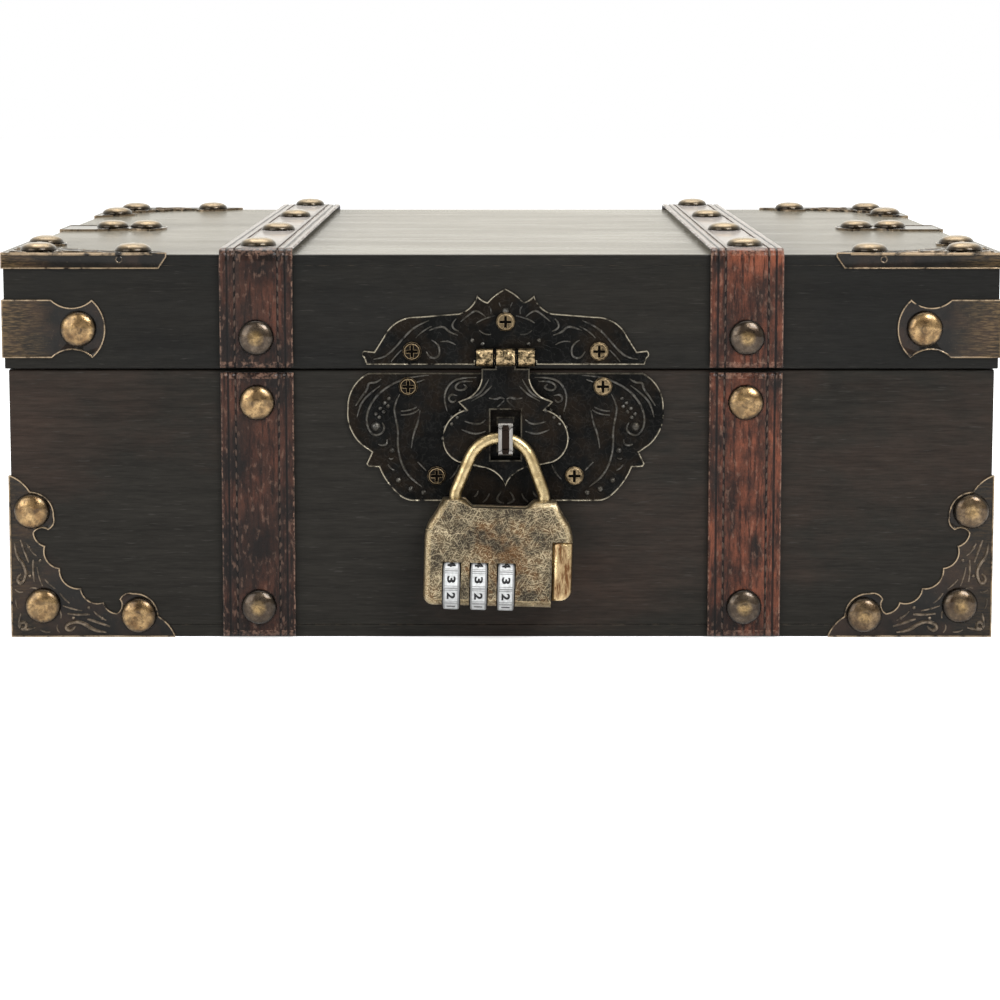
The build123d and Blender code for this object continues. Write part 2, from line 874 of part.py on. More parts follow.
def latch_pocket():
    """Room for the latch arm and its travel, open to the slider below."""
    room = latch_room
    return block(
        (leg_x, latch_left_x + latch_thickness + slider_travel + room),
        (-latch_half_depth - room, latch_half_depth + room),
        (slider_top_z, latch_top_z + room),
    )


def release_slider():
    """The side piece that is drawn out to free the short leg, with its latch arm."""
    grip = block(
        (slider_left_x, body_half_width),
        (-slider_half_thickness, slider_half_thickness),
        (slider_bottom_z, slider_top_z),
    )
    lower_right = grip.edges().filter_by(Axis.Y).group_by(Axis.Z)[0].sort_by(Axis.X)[-1]
    grip = fillet(lower_right, slider_round)
    arm = block(
        (latch_left_x, latch_left_x + latch_thickness),
        (-latch_half_depth, latch_half_depth),
        (slider_top_z - latch_thickness, latch_top_z),
    )
    foot = block(
        (latch_left_x, body_half_width - slider_round),
        (-latch_half_depth, latch_half_depth),
        (slider_top_z - latch_thickness, slider_top_z),
    )
    nose = block(
        (latch_left_x - latch_nose, latch_left_x),
        (-latch_half_depth, latch_half_depth),
        (latch_top_z - latch_nose_height, latch_top_z),
    )
    socket = rod(spindle_radius, (slider_left_x, 0, dial_z), (body_half_width - slider_round, 0, dial_z))
    return grip + arm + foot + nose - socket


def foot_pocket():
    """Room in the shells for the latch's foot, which passes under the slider's top."""
    room = latch_room
    return block(
        (latch_left_x - room, slider_left_x),
        (-latch_half_depth - room, latch_half_depth + room),
        (slider_top_z - latch_thickness - room, slider_top_z + room),
    )


def spindle():
    return rod(
        spindle_radius, (spindle_left_x, 0, dial_z), (body_half_width - slider_round, 0, dial_z)
    )


def dial(x):
    """One number wheel: a flat for each figure, turned so that a figure faces the window."""
    half = dial_width / 2
    end_face = Plane((x + half, 0, dial_z), x_dir=(0, -1, 0), z_dir=(-1, 0, 0))
    turn = dial_figure_turn - 360 / dial_figures / 2
    wheel = extrude(end_face * RegularPolygon(dial_radius, dial_figures, rotation=turn), dial_width)
    rims = wheel.edges().group_by(Axis.X)
    wheel = chamfer(rims[0] + rims[-1], dial_edge)
    ends = (x - dial_width, 0, dial_z), (x + dial_width, 0, dial_z)
    return wheel - rod(spindle_radius + running_room, *ends)


def padlock_pieces():
    pieces = {
        "padlock_shackle": shackle(),
        "padlock_front_shell": padlock_shell(-1) - foot_pocket(),
        "padlock_back_shell": padlock_shell(1) - foot_pocket(),
        "padlock_release_slider": release_slider(),
        "padlock_spindle": spindle(),
    }
    for name, step in dial_steps.items():
        pieces[f"padlock_dial_{name}"] = dial(dial_left_x + step * dial_pitch)
    return {name: hung(shape) for name, shape in pieces.items()}


# Everything by name

def fittings():
    pieces = {}
    for end_name, end in ends.items():
        for side_name, side in sides.items():
            place = f"{end_name}_{side_name}"
            pieces[f"base_corner_{place}"] = corner_fitting(base_corner_plane(end, side))
            pieces[f"lid_corner_{place}"] = corner_fitting(lid_corner_plane(end, side))
            pieces[f"lid_band_{place}"] = corner_band(end, side)
            pieces[f"base_strap_{place}"] = base_strap(side * strap_x, end)
    for name, side in sides.items():
        pieces[f"lid_side_band_{name}"] = side_band(side)
        pieces[f"lid_strap_{name}"] = lid_strap(side * strap_x)
        pieces[f"hinge_{name}_base_leaf"] = hinge_leaf_piece(side, "base")
        pieces[f"hinge_{name}_lid_leaf"] = hinge_leaf_piece(side, "lid")
    pieces["hasp_upper_plate"] = hasp_upper_plate()
    pieces["hasp_lower_plate"] = hasp_lower_plate()
    pieces["hasp_flap"] = hasp_flap()
    pieces["hasp_pin"] = hasp_pin()
    pieces["hasp_staple"] = staple()
    return pieces


def fasteners():
    return {
        "base_corner_nails": at_each(base_corner_places, nail()),
        "base_strap_nails": at_each(all_base_strap_places, nail()),
        "lid_corner_nails": at_each(lid_corner_places, nail()),
        "lid_band_nails": at_each(all_band_places, nail()),
        "lid_strap_nails": at_each(all_lid_strap_places, nail()),
        "hasp_upper_screws": at_each(upper_screw_places, screw()),
        "hasp_lower_screws": at_each(lower_screw_places, screw()),
        "hinge_lid_screws": at_each(lid_hinge_places, screw()),
        "hinge_base_screws": at_each(base_hinge_places, screw()),
        "hinge_pins": [hinge_pin(side) for side in sides.values()],
    }


def main():
    os.makedirs("parts", exist_ok=True)
    pieces = {**base_boards(), **lid_boards(), **fittings(), **padlock_pieces()}
    for name, group in fasteners().items():
        pieces[name] = Compound(children=group)
    for name, shape in pieces.items():
        export_step(shape, f"parts/{name}.step")
    print(len(pieces), "pieces written")


main()
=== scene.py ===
import json
import math
from functools import partial

import bmesh
import bpy
from mathutils import Matrix, Vector, noise


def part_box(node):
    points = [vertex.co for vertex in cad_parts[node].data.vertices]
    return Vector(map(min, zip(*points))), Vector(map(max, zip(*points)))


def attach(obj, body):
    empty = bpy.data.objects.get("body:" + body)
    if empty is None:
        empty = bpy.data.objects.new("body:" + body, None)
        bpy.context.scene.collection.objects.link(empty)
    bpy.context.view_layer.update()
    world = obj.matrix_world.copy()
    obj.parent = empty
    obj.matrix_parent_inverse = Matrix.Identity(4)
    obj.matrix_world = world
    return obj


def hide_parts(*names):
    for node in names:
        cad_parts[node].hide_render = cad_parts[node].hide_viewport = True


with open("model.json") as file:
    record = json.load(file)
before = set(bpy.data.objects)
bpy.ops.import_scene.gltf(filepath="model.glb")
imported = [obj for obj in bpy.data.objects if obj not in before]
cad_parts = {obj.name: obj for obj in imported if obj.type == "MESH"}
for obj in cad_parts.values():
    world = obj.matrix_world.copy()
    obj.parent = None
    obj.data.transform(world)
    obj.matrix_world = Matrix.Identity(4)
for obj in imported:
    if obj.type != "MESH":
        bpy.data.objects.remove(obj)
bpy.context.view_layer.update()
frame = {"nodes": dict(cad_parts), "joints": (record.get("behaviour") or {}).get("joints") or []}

mm = 0.001
quarter = math.pi / 2
scene = bpy.context.scene
scene.view_settings.view_transform = "Standard"
print("frame loaded:", len(frame["nodes"]), "nodes")


# Node helpers. Most find their tree by a socket that they are given

def putIn(socket, value):
    if isinstance(value, bpy.types.NodeSocket):
        socket.id_data.links.new(value, socket)
    else:
        socket.default_value = value


def addNode(tree, kind, values=None, **settings):
    made = tree.nodes.new(kind)
    for key, value in settings.items():
        setattr(made, key, value)
    for label, value in (values or {}).items():
        putIn(made.inputs[label], value)
    return made


def treeOf(*values):
    return next(value.id_data for value in values if isinstance(value, bpy.types.NodeSocket))


def calc(operation, first, second=0.0):
    tree = treeOf(first, second)
    return addNode(tree, "ShaderNodeMath", {0: first, 1: second}, operation=operation).outputs[0]


times, plus, minus = partial(calc, "MULTIPLY"), partial(calc, "ADD"), partial(calc, "SUBTRACT")
larger, absolute = partial(calc, "MAXIMUM"), partial(calc, "ABSOLUTE")


def mixed(factor, first, second, blend="MIX"):
    made = addNode(treeOf(factor, first, second), "ShaderNodeMix", data_type="RGBA", blend_type=blend)
    for index, value in ((0, factor), (6, first), (7, second)):
        putIn(made.inputs[index], (*value, 1) if isinstance(value, tuple) else value)
    return made.outputs[2]


def layered(colour, *layers):      # each a colour, its mask, and how much of it shows if that isn't all
    for over, mask, *amount in layers:
        colour = mixed(times(mask, *amount) if amount else mask, colour, over)
    return colour


def toned(colour, share):
    return tuple(share * part for part in colour)


def ranged(value, low, high, toLow=0.0, toHigh=1.0):
    values = {"Value": value, "From Min": low, "From Max": high, "To Min": toLow, "To Max": toHigh}
    return addNode(value.id_data, "ShaderNodeMapRange", values).outputs[0]


def mapped(vector, scale, turn=(0, 0, 0)):
    values = {"Vector": vector, "Scale": scale, "Rotation": turn}
    return addNode(vector.id_data, "ShaderNodeMapping", values).outputs[0]


def parted(vector):
    return addNode(vector.id_data, "ShaderNodeSeparateXYZ", {0: vector}).outputs


def noised(vector, scale, detail=4.0, rough=0.55):
    values = {"Vector": vector, "Scale": scale, "Detail": detail, "Roughness": rough}
    return addNode(vector.id_data, "ShaderNodeTexNoise", values).outputs["Fac"]


def clouded(vector, cloud, span):
    return ranged(noised(vector, *cloud), *span)


def scaled(vector, scale, cloud):      # a noise that follows a group's own scale
    share, detail, rough = cloud
    return noised(vector, times(scale, share), detail, rough)


def celled(vector, scale, feature):
    values = {"Vector": vector, "Scale": scale}
    return addNode(vector.id_data, "ShaderNodeTexVoronoi", values, feature=feature).outputs["Distance"]


def newGroup(name, **inputs):
    tree = bpy.data.node_groups.new(name, "ShaderNodeTree")
    tree.interface.new_socket("Vector", in_out="INPUT", socket_type="NodeSocketVector")
    for label, value in inputs.items():
        socket = tree.interface.new_socket(label, in_out="INPUT", socket_type="NodeSocketFloat")
        socket.default_value = value
    return tree, tree.nodes.new("NodeGroupInput").outputs


def closeGroup(tree, **outputs):
    for label in outputs:
        tree.interface.new_socket(label, in_out="OUTPUT", socket_type="NodeSocketFloat")
    end = tree.nodes.new("NodeGroupOutput").inputs
    for label, value in outputs.items():
        putIn(end[label], value)
    return tree


def useGroup(group, **values):
    return addNode(treeOf(*values.values()), "ShaderNodeGroup", values, node_tree=group).outputs


# Shared effects, as groups. A cloud is a share of the group's scale, a detail and a roughness

effects = {
    "grain": {
        "fine": (1.0, 3.0, 0.6), "fineShows": 0.6, "broad": (0.16, 3.0, 0.5), "broadShows": 0.4,
        "pores": (1.7, 1.0, 0.55), "poreRange": (0.58, 0.70),
        "lines": (0.9, 2.0, 0.7), "lineRange": (0.63, 0.72),
    },
    "patches": {"broad": (1.0, 2.0, 0.55), "broadShows": 0.75, "fine": (9.0, 4.0, 0.7), "fineShows": 0.25},
    "edges": {"broken": (1.0, 3.0, 0.7), "from": 0.75, "byAmount": 0.6, "span": 0.16},
    "hairlines": {
        "turns": (0.45, -0.6, 1.15, -1.2, 0.05, 1.8), "tilt": 0.13, "stretch": (1, 1, 0.07),
        "line": (1.0, 1.0, 0.5), "span": 0.07,
    },
    "hammered": {"fine": (3.0, 3.0, 0.55), "fineShows": 0.3, "dents": (0.25, 0.75)},
    "hide": {
        "stretch": (1, 1, 0.35), "creases": (0.5, 4.0, 0.7), "creaseRange": (0.55, 0.7), "creaseDeep": 0.8,
        "tone": (0.16, 5.0, 0.65), "cells": (0.0, 0.25),
    },
}


def makeGrain():
    tree, start = newGroup("woodGrain", Fibre=1500.0, Stretch=26.0)
    look, fibre, squeeze = effects["grain"], start["Fibre"], calc("DIVIDE", 1.0, start["Stretch"])
    scale = addNode(tree, "ShaderNodeCombineXYZ", {"X": squeeze, "Y": 1.0, "Z": 1.0}).outputs[0]
    values = {0: start["Vector"], 1: scale}
    long = addNode(tree, "ShaderNodeVectorMath", values, operation="MULTIPLY").outputs[0]
    fine = times(scaled(long, fibre, look["fine"]), look["fineShows"])
    broad = times(scaled(long, fibre, look["broad"]), look["broadShows"])
    pores = ranged(scaled(long, fibre, look["pores"]), *look["poreRange"])
    lines = ranged(scaled(long, fibre, look["lines"]), *look["lineRange"])
    return closeGroup(tree, Grain=plus(fine, broad), Pores=pores, Scratches=lines)


def makePatches():
    tree, start = newGroup("rubbedPatches", Scale=20.0, Low=0.5, High=0.65)
    look, vector, scale = effects["patches"], start["Vector"], start["Scale"]
    broad = times(scaled(vector, scale, look["broad"]), look["broadShows"])
    fine = times(scaled(vector, scale, look["fine"]), look["fineShows"])
    return closeGroup(tree, Mask=ranged(plus(broad, fine), start["Low"], start["High"]))


def makeEdgeWear():
    tree, start = newGroup("edgeWear", Edge=0.0, Amount=0.7, Scale=400.0)
    look = effects["edges"]
    low = minus(look["from"], times(start["Amount"], look["byAmount"]))
    broken = ranged(scaled(start["Vector"], start["Scale"], look["broken"]), low, plus(low, look["span"]))
    return closeGroup(tree, Mask=times(broken, start["Edge"]))


def makeHairlines():
    tree, start = newGroup("crossedScratches", Scale=2000.0, Low=0.6)
    look, total = effects["hairlines"], 0.0
    high = plus(start["Low"], look["span"])
    for index, angle in enumerate(look["turns"]):
        leaning = mapped(start["Vector"], (1, 1, 1), (look["tilt"] * index, angle, 0))
        line = scaled(mapped(leaning, look["stretch"]), start["Scale"], look["line"])
        total = larger(ranged(line, start["Low"], high), total)
    return closeGroup(tree, Mask=total)


def makeHammered():
    tree, start = newGroup("hammered", Scale=600.0)
    look = effects["hammered"]
    cells = celled(start["Vector"], start["Scale"], "SMOOTH_F1")
    fine = times(scaled(start["Vector"], start["Scale"], look["fine"]), look["fineShows"])
    return closeGroup(tree, Height=plus(cells, fine), Dent=ranged(cells, *look["dents"]))


def makeHide():
    tree, start = newGroup("hide", Scale=700.0)
    look = effects["hide"]
    cells = ranged(celled(start["Vector"], start["Scale"], "DISTANCE_TO_EDGE"), *look["cells"])
    long = mapped(start["Vector"], look["stretch"])
    crease = ranged(scaled(long, start["Scale"], look["creases"]), *look["creaseRange"])
    height = minus(cells, times(crease, look["creaseDeep"]))
    return closeGroup(tree, Height=height, Tone=scaled(long, start["Scale"], look["tone"]), Crease=crease)


grainGroup = makeGrain()
patchGroup = makePatches()
edgeGroup = makeEdgeWear()
hairGroup = makeHairlines()
hammerGroup = makeHammered()
hideGroup = makeHide()


# Finishes. Here a cloud has a scale of its own, and a range that it is spread over

def newFinish(name):
    finish = bpy.data.materials.new(name)
    finish.use_nodes = True
    tree = finish.node_tree
    tree.nodes.clear()
    shader = tree.nodes.new("ShaderNodeBsdfPrincipled")
    output = tree.nodes.new("ShaderNodeOutputMaterial")
    tree.links.new(shader.outputs[0], output.inputs[0])
    return finish, shader, tree.nodes.new("ShaderNodeTexCoord").outputs["Object"]


def faceValue(vector, name):
    return addNode(vector.id_data, "ShaderNodeAttribute", attribute_name=name).outputs["Fac"]


def wornEdge(vector, amount, scale):
    edge = faceValue(vector, "edge")
    return useGroup(edgeGroup, Vector=vector, Edge=edge, Amount=amount, Scale=scale)["Mask"]


def finishUp(shader, colour, roughness, bump=None, **constants):
    putIn(shader.inputs["Base Color"], colour)
    putIn(shader.inputs["Roughness"], roughness)
    if bump:
        height, strength, distance = bump
        values = {"Height": height, "Strength": strength, "Distance": distance * mm}
        putIn(shader.inputs["Normal"], addNode(shader.id_data, "ShaderNodeBump", values).outputs[0])
    for label, value in constants.items():
        shader.inputs[label.replace("_", " ")].default_value = value


woodLook = {
    "grain": {"Fibre": 2400.0, "Stretch": 15.0}, "grainRange": (0.3, 0.7), "shade": (0.62, 1.42),
    "patches": {"Scale": 17.0, "Low": 0.47, "High": 0.66}, "patchStretch": (0.45, 1, 1), "scratched": 0.3,
    "scratch": (0.060, 0.056, 0.050), "rubbed": (0.11, 0.085, 0.06), "edgeWear": (0.45, 320.0),
    "poreDepth": 0.5, "bump": (0.35, 0.1), "specular": 0.10,
    "base": {
        "dark": (0.0145, 0.0133, 0.0110), "warm": (0.038, 0.0238, 0.0178),
        "patch": 0.65, "rough": (0.42, 0.3), "worn": 0.2,
    },
    "lid": {
        "dark": (0.0098, 0.0097, 0.0088), "warm": (0.019, 0.0165, 0.0125),
        "patch": 0.4, "rough": (0.36, 0.26), "worn": 0.6,
    },
    "top": {
        "dark": (0.0130, 0.0122, 0.0100), "warm": (0.030, 0.024, 0.017),
        "patch": 0.5, "rough": (0.28, 0.12), "worn": 0.6,
    },
}
waxAndSheenLook = {      # on the lid's top face alone: a wax coat, thinner towards its two ends, and a warm painted sheen that makes the top look lit
    "cloud": ((70.0, 4.0, 0.6), (0.36, 0.62, 0.29, 0.68)), "stretch": (0.15, 1, 1),
    "ends": (0.070, 0.085, 1.0, 0.7),
    "shine": {
        "Sheen_Weight": 0.4, "Sheen_Roughness": 0.25, "Sheen_Tint": (1.0, 0.92, 0.72, 1),
        "Coat_Roughness": 0.12, "Coat_IOR": 1.25,
    },
}


def woodFinish(name, look, turn=0.0, waxedWithSheen=False):
    finish, shader, vector = newFinish(name)
    along = mapped(vector, (1, 1, 1), (0, 0, turn))
    grain = useGroup(grainGroup, Vector=along, **woodLook["grain"])
    patches = useGroup(patchGroup, Vector=mapped(along, woodLook["patchStretch"]), **woodLook["patches"])
    colour = mixed(times(patches["Mask"], look["patch"]), look["dark"], look["warm"])
    shade = ranged(grain["Grain"], *woodLook["grainRange"], *woodLook["shade"])
    grey = addNode(vector.id_data, "ShaderNodeCombineColor", {0: shade, 1: shade, 2: shade}).outputs[0]
    colour = layered(
        mixed(1.0, colour, grey, "MULTIPLY"),
        (woodLook["scratch"], grain["Scratches"], woodLook["scratched"]),
        (woodLook["rubbed"], wornEdge(along, *woodLook["edgeWear"]), look["worn"]),
    )
    rough = ranged(grain["Grain"], *woodLook["grainRange"], *look["rough"])
    height = minus(grain["Grain"], times(grain["Pores"], woodLook["poreDepth"]))
    if waxedWithSheen:
        wax = clouded(mapped(along, waxAndSheenLook["stretch"]), *waxAndSheenLook["cloud"])
        putIn(shader.inputs["Coat Weight"], times(wax, ranged(absolute(parted(vector)[0]), *waxAndSheenLook["ends"])))
    bump, shine = (height, *woodLook["bump"]), waxAndSheenLook["shine"] if waxedWithSheen else {}
    finishUp(shader, colour, rough, bump, Specular_IOR_Level=woodLook["specular"], **shine)
    return finish


hideLook = {
    "brown": (0.026, 0.0125, 0.0085), "red": (0.172, 0.052, 0.0265), "dark": (0.0040, 0.0024, 0.0020),
    "pale": (0.34, 0.20, 0.14), "groove": (0.003, 0.0022, 0.0020), "grain": 1100.0, "toneRange": (0.38, 0.6),
    "redness": (-0.095, 0.05, 0.08, 1.0), "darkness": (-0.095, 0.05, 0.95, 0.82),      # from left to right
    "patches": {"Scale": 60.0, "Low": 0.42, "High": 0.60},
    "flecks": {"Scale": 900.0, "Low": 0.56, "High": 0.66}, "fleckStretch": (1, 1, 0.45),
    "streaks": ((900.0, 4.0, 0.7), (0.48, 0.62)), "streakStretch": (1, 1, 0.1), "edgeWear": (0.5, 900.0),
    "amounts": {"creases": 0.6, "streaks": 0.8, "flecks": 0.2, "edges": 0.55, "grooves": 0.85},
    "rough": (0.3, 0.7, 0.42, 0.30), "bump": (0.5, 0.15),
    "front": {
        "Specular_IOR_Level": 0.06, "Sheen_Weight": 0.1, "Coat_Weight": 0.6, "Coat_Roughness": 0.14,
        "Coat_IOR": 1.25,
    },
    # upward faces: a shinier copy of the leather, with a strong painted sheen so that the strap's top looks
    # lit
    "top": {
        "Specular_IOR_Level": 0.25, "Sheen_Weight": 1.0, "Sheen_Roughness": 0.25,
        "Sheen_Tint": (1.0, 0.93, 0.86, 1), "Coat_Weight": 1.0, "Coat_Roughness": 0.05, "Coat_IOR": 1.45,
    },
}


def leatherFinish(name, shine):
    finish, shader, vector = newFinish(name)
    across, amounts, dark, pale = parted(vector)[0], hideLook["amounts"], hideLook["dark"], hideLook["pale"]
    hide = useGroup(hideGroup, Vector=vector, Scale=hideLook["grain"])
    patches = useGroup(patchGroup, Vector=vector, **hideLook["patches"])["Mask"]
    flecks = useGroup(patchGroup, Vector=mapped(vector, hideLook["fleckStretch"]), **hideLook["flecks"])
    streaks = clouded(mapped(vector, hideLook["streakStretch"]), *hideLook["streaks"])
    tone = times(ranged(hide["Tone"], *hideLook["toneRange"]), ranged(across, *hideLook["redness"]))
    colour = layered(
        mixed(tone, hideLook["brown"], hideLook["red"]),
        (dark, patches, ranged(across, *hideLook["darkness"])),
        (dark, hide["Crease"], amounts["creases"]),
        (dark, streaks, amounts["streaks"]),
        (pale, flecks["Mask"], amounts["flecks"]),
        (pale, wornEdge(vector, *hideLook["edgeWear"]), amounts["edges"]),
        # painted shade in the grooves and on the strap's cut edges
        (hideLook["groove"], faceValue(vector, "groove"), amounts["grooves"]),
    )
    rough = ranged(hide["Tone"], *hideLook["rough"])
    finishUp(shader, colour, rough, (hide["Height"], *hideLook["bump"]), **shine)
    return finish


threadLook = {
    "twist": (2600.0, 2.0), "twistStretch": (1, 1, 0.3), "rough": 0.55, "bump": (0.4, 0.1), "specular": 0.3,
    "colours": ((0.014, 0.009, 0.007), (0.085, 0.050, 0.034)),
}


def threadFinish():
    finish, shader, vector = newFinish("waxedThread")
    twist = noised(mapped(vector, threadLook["twistStretch"]), *threadLook["twist"])
    colour, bump = mixed(twist, *threadLook["colours"]), (twist, *threadLook["bump"])
    finishUp(shader, colour, threadLook["rough"], bump, Specular_IOR_Level=threadLook["specular"])
    return finish


lacquer = {"Coat_Weight": 1.0, "Coat_Roughness": 0.08, "Coat_IOR": 1.26}
bronzeLook = {
    "pressed": {
        "dark": (0.0068, 0.0062, 0.0054), "patina": (0.026, 0.0165, 0.0120), "rim": (0.35, 0.26, 0.165),
        "relief": (0.21, 0.165, 0.12), "wear": 0.66, "engraved": 0.1, "fleck": 0.09,
    },
    "hasp": {
        "dark": (0.0042, 0.0043, 0.0042), "patina": (0.013, 0.0098, 0.0072), "rim": (0.32, 0.285, 0.215),
        "relief": (0.110, 0.107, 0.10), "wear": 0.62, "engraved": 0.5, "fleck": 0.035,
    },
    "gold": (0.30, 0.19, 0.085), "oldGold": (0.035, 0.027, 0.015), "brightGold": (0.54, 0.40, 0.225),
    "goldAcross": (0.121, 0.139), "goldDeep": (0.087, 0.1035),      # brushed gold beside the upright corners
    "brush": (2200.0, 3.0, 0.65), "brushStretch": (0.14, 0.14, 1), "brushRange": (0.42, 0.62, 0.15, 1.0),
    "ground": ((110.0, 4.0, 0.6), (0.35, 0.68)), "lighter": 2.0, "stains": ((90.0, 4.0, 0.6), (0.46, 0.62)),
    "pits": ((700.0, 4.0, 0.7), (0.40, 0.58)), "rubbed": ((650.0, 3.0, 0.6), (0.42, 0.60, 0.12, 0.85)),
    "speckle": (1500.0, 3.0, 0.7), "fleckRange": (0.62, 0.76), "curls": (420.0, 2.0, 0.5),
    "curlRange": (0.0, 0.035, 1.0, 0.0), "engravedTint": 0.12, "wearScale": 260.0, "polished": 0.12,
    "metal": (0.0, 1.0, 0.75, 1.0), "rough": (0.3, 0.7, 0.52, 0.38), "bump": (0.6, 0.2), "speckleDeep": 0.5,
    # deep is the near-black of painted shade in holes, gaps and recesses
    "deep": (0.004, 0.004, 0.004), "specular": 0.08,
}


def bronzeFinish(name, look, **shine):
    finish, shader, vector = newFinish(name)
    speckle = noised(vector, *bronzeLook["speckle"])
    curl = ranged(absolute(minus(noised(vector, *bronzeLook["curls"]), 0.5)), *bronzeLook["curlRange"])
    engraved = times(curl, look["engraved"])
    across, depth = parted(vector)[:2]
    atSide = ranged(absolute(across), *bronzeLook["goldAcross"])
    nearCorner = times(atSide, ranged(absolute(depth), *bronzeLook["goldDeep"]))
    brushed = noised(mapped(vector, bronzeLook["brushStretch"]), *bronzeLook["brush"])
    streaks = ranged(brushed, *bronzeLook["brushRange"])
    golden = times(times(nearCorner, streaks), faceValue(vector, "glow"))
    gilt, oldGold = faceValue(vector, "gold"), bronzeLook["oldGold"]
    pitted = mixed(clouded(vector, *bronzeLook["pits"]), bronzeLook["brightGold"], oldGold)
    # the raised ornament is lighter, partly from rubbed wear and partly as a painted highlight
    raised = times(faceValue(vector, "raised"), clouded(vector, *bronzeLook["rubbed"]))
    wear = wornEdge(vector, look["wear"], bronzeLook["wearScale"])
    light = toned(look["dark"], bronzeLook["lighter"])
    colour = layered(
        mixed(clouded(vector, *bronzeLook["ground"]), look["dark"], light),
        (look["patina"], clouded(vector, *bronzeLook["stains"])),
        (mixed(brushed, oldGold, bronzeLook["gold"]), golden),
        (look["relief"], engraved, bronzeLook["engravedTint"]),
        (pitted, gilt),
        (look["rim"], ranged(speckle, *bronzeLook["fleckRange"]), look["fleck"]),
        (look["relief"], raised),
        (look["rim"], wear),
        (bronzeLook["deep"], faceValue(vector, "deep")),
    )
    bright = larger(larger(wear, raised), larger(golden, gilt))
    putIn(shader.inputs["Metallic"], ranged(bright, *bronzeLook["metal"]))
    rough = minus(ranged(speckle, *bronzeLook["rough"]), times(bright, bronzeLook["polished"]))
    bump = (plus(engraved, times(speckle, bronzeLook["speckleDeep"])), *bronzeLook["bump"])
    finishUp(shader, colour, rough, bump, Specular_IOR_Level=bronzeLook["specular"], **shine)
    return finish


nailLook = {
    "gold": ((0.52, 0.34, 0.155), (0.21, 0.12, 0.05)), "gun": ((0.090, 0.074, 0.062), (0.028, 0.023, 0.020)),
    "heart": (0.36, 0.24, 0.10), "heartRange": (0.2, 0.5, 0.85, 0.0), "hammer": 480.0,
    "grime": (0.030, 0.019, 0.012), "fineGrime": ((900.0, 4.0, 0.7), (0.42, 0.62)), "grimy": 0.62,
    "broadGrime": ((320.0, 2.0, 0.5), (0.44, 0.62)),
    "ringAt": 0.24, "ringRange": (0.02, 0.08, 0.6, 0.0), "ringDeep": 0.4,
    "pale": (0.62, 0.48, 0.30), "paleRange": (0.1055, 0.1080, 0.0, 0.65),      # painted reflection, paler on the lid's top
    "rim": (0.012, 0.010, 0.008), "rimRange": (0.72, 0.97, 0.0, 0.92),
    "rough": (0.0, 1.0, 0.24, 0.42), "bump": (0.4, 0.3),
}


def nailFinish():
    finish, shader, vector = newFinish("hammeredBrass")
    hammer = useGroup(hammerGroup, Vector=vector, Scale=nailLook["hammer"])
    away = faceValue(vector, "away")      # 0 at a nail's middle, 1 at its rim
    gold, gun = mixed(hammer["Dent"], *nailLook["gold"]), mixed(hammer["Dent"], *nailLook["gun"])
    gun = layered(gun, (nailLook["heart"], ranged(away, *nailLook["heartRange"])))
    fine, broad = clouded(vector, *nailLook["fineGrime"]), clouded(vector, *nailLook["broadGrime"])
    ring = times(ranged(absolute(minus(away, nailLook["ringAt"])), *nailLook["ringRange"]), broad)
    colour = layered(
        mixed(faceValue(vector, "shade"), gold, gun),
        (nailLook["grime"], larger(fine, broad), nailLook["grimy"]),
        (nailLook["grime"], ring),
        # painted reflection: nails on the lid's top are paler
        (nailLook["pale"], ranged(parted(vector)[2], *nailLook["paleRange"])),
        # painted shade darkens each nail towards its rim
        (nailLook["rim"], ranged(away, *nailLook["rimRange"])),
    )
    bump = (minus(hammer["Height"], times(ring, nailLook["ringDeep"])), *nailLook["bump"])
    finishUp(shader, colour, ranged(fine, *nailLook["rough"]), bump, Metallic=1.0, **lacquer)
    return finish


brassLook = {      # bright, dull, roughness, scale of the dirt, how dirty, how drawn out
    "screwBrass": ((0.33, 0.245, 0.14), (0.012, 0.010, 0.008), 0.36, 600.0, 1.0, 1.0),
    "rubbedBrass": ((0.46, 0.35, 0.20), (0.12, 0.085, 0.05), 0.3, 500.0, 0.7, 1.0),
    "wireBrass": ((0.68, 0.54, 0.30), (0.22, 0.145, 0.06), 0.24, 420.0, 0.7, 1.0),
    "releaseBrass": ((0.90, 0.69, 0.38), (0.16, 0.075, 0.032), 0.2, 420.0, 1.0, 0.25),
    # deep is painted shade in recesses, such as the screws' crosses
    "deep": (0.006, 0.005, 0.004), "edgeWear": (0.8, 700.0), "worn": 0.7, "rougher": 0.2, "bump": (0.2, 0.1),
    "grime": (5.0, 0.7), "grimeRange": (0.38, 0.62), "finer": 6.0, "speckle": (2.0, 0.6),
    "speckleRange": (0.45, 0.7), "speckleShows": 0.6,
}


def brassFinish(name):
    finish, shader, vector = newFinish(name)
    bright, dull, rough, scale, amount, upright = brassLook[name]
    grime = clouded(mapped(vector, (1, 1, upright)), (scale, *brassLook["grime"]), brassLook["grimeRange"])
    speckle = clouded(vector, (scale * brassLook["finer"], *brassLook["speckle"]), brassLook["speckleRange"])
    dirt = times(larger(grime, times(speckle, brassLook["speckleShows"])), amount)
    dirt = larger(dirt, faceValue(vector, "dull"))
    colour = layered(
        mixed(dirt, bright, dull),
        (bright, wornEdge(vector, *brassLook["edgeWear"]), brassLook["worn"]),
        (brassLook["deep"], faceValue(vector, "deep")),
    )
    rough = ranged(dirt, 0.0, 1.0, rough, rough + brassLook["rougher"])
    finishUp(shader, colour, rough, (speckle, *brassLook["bump"]), Metallic=1.0)
    return finish


# The padlock hangs at a slant, so its directions come from its joints

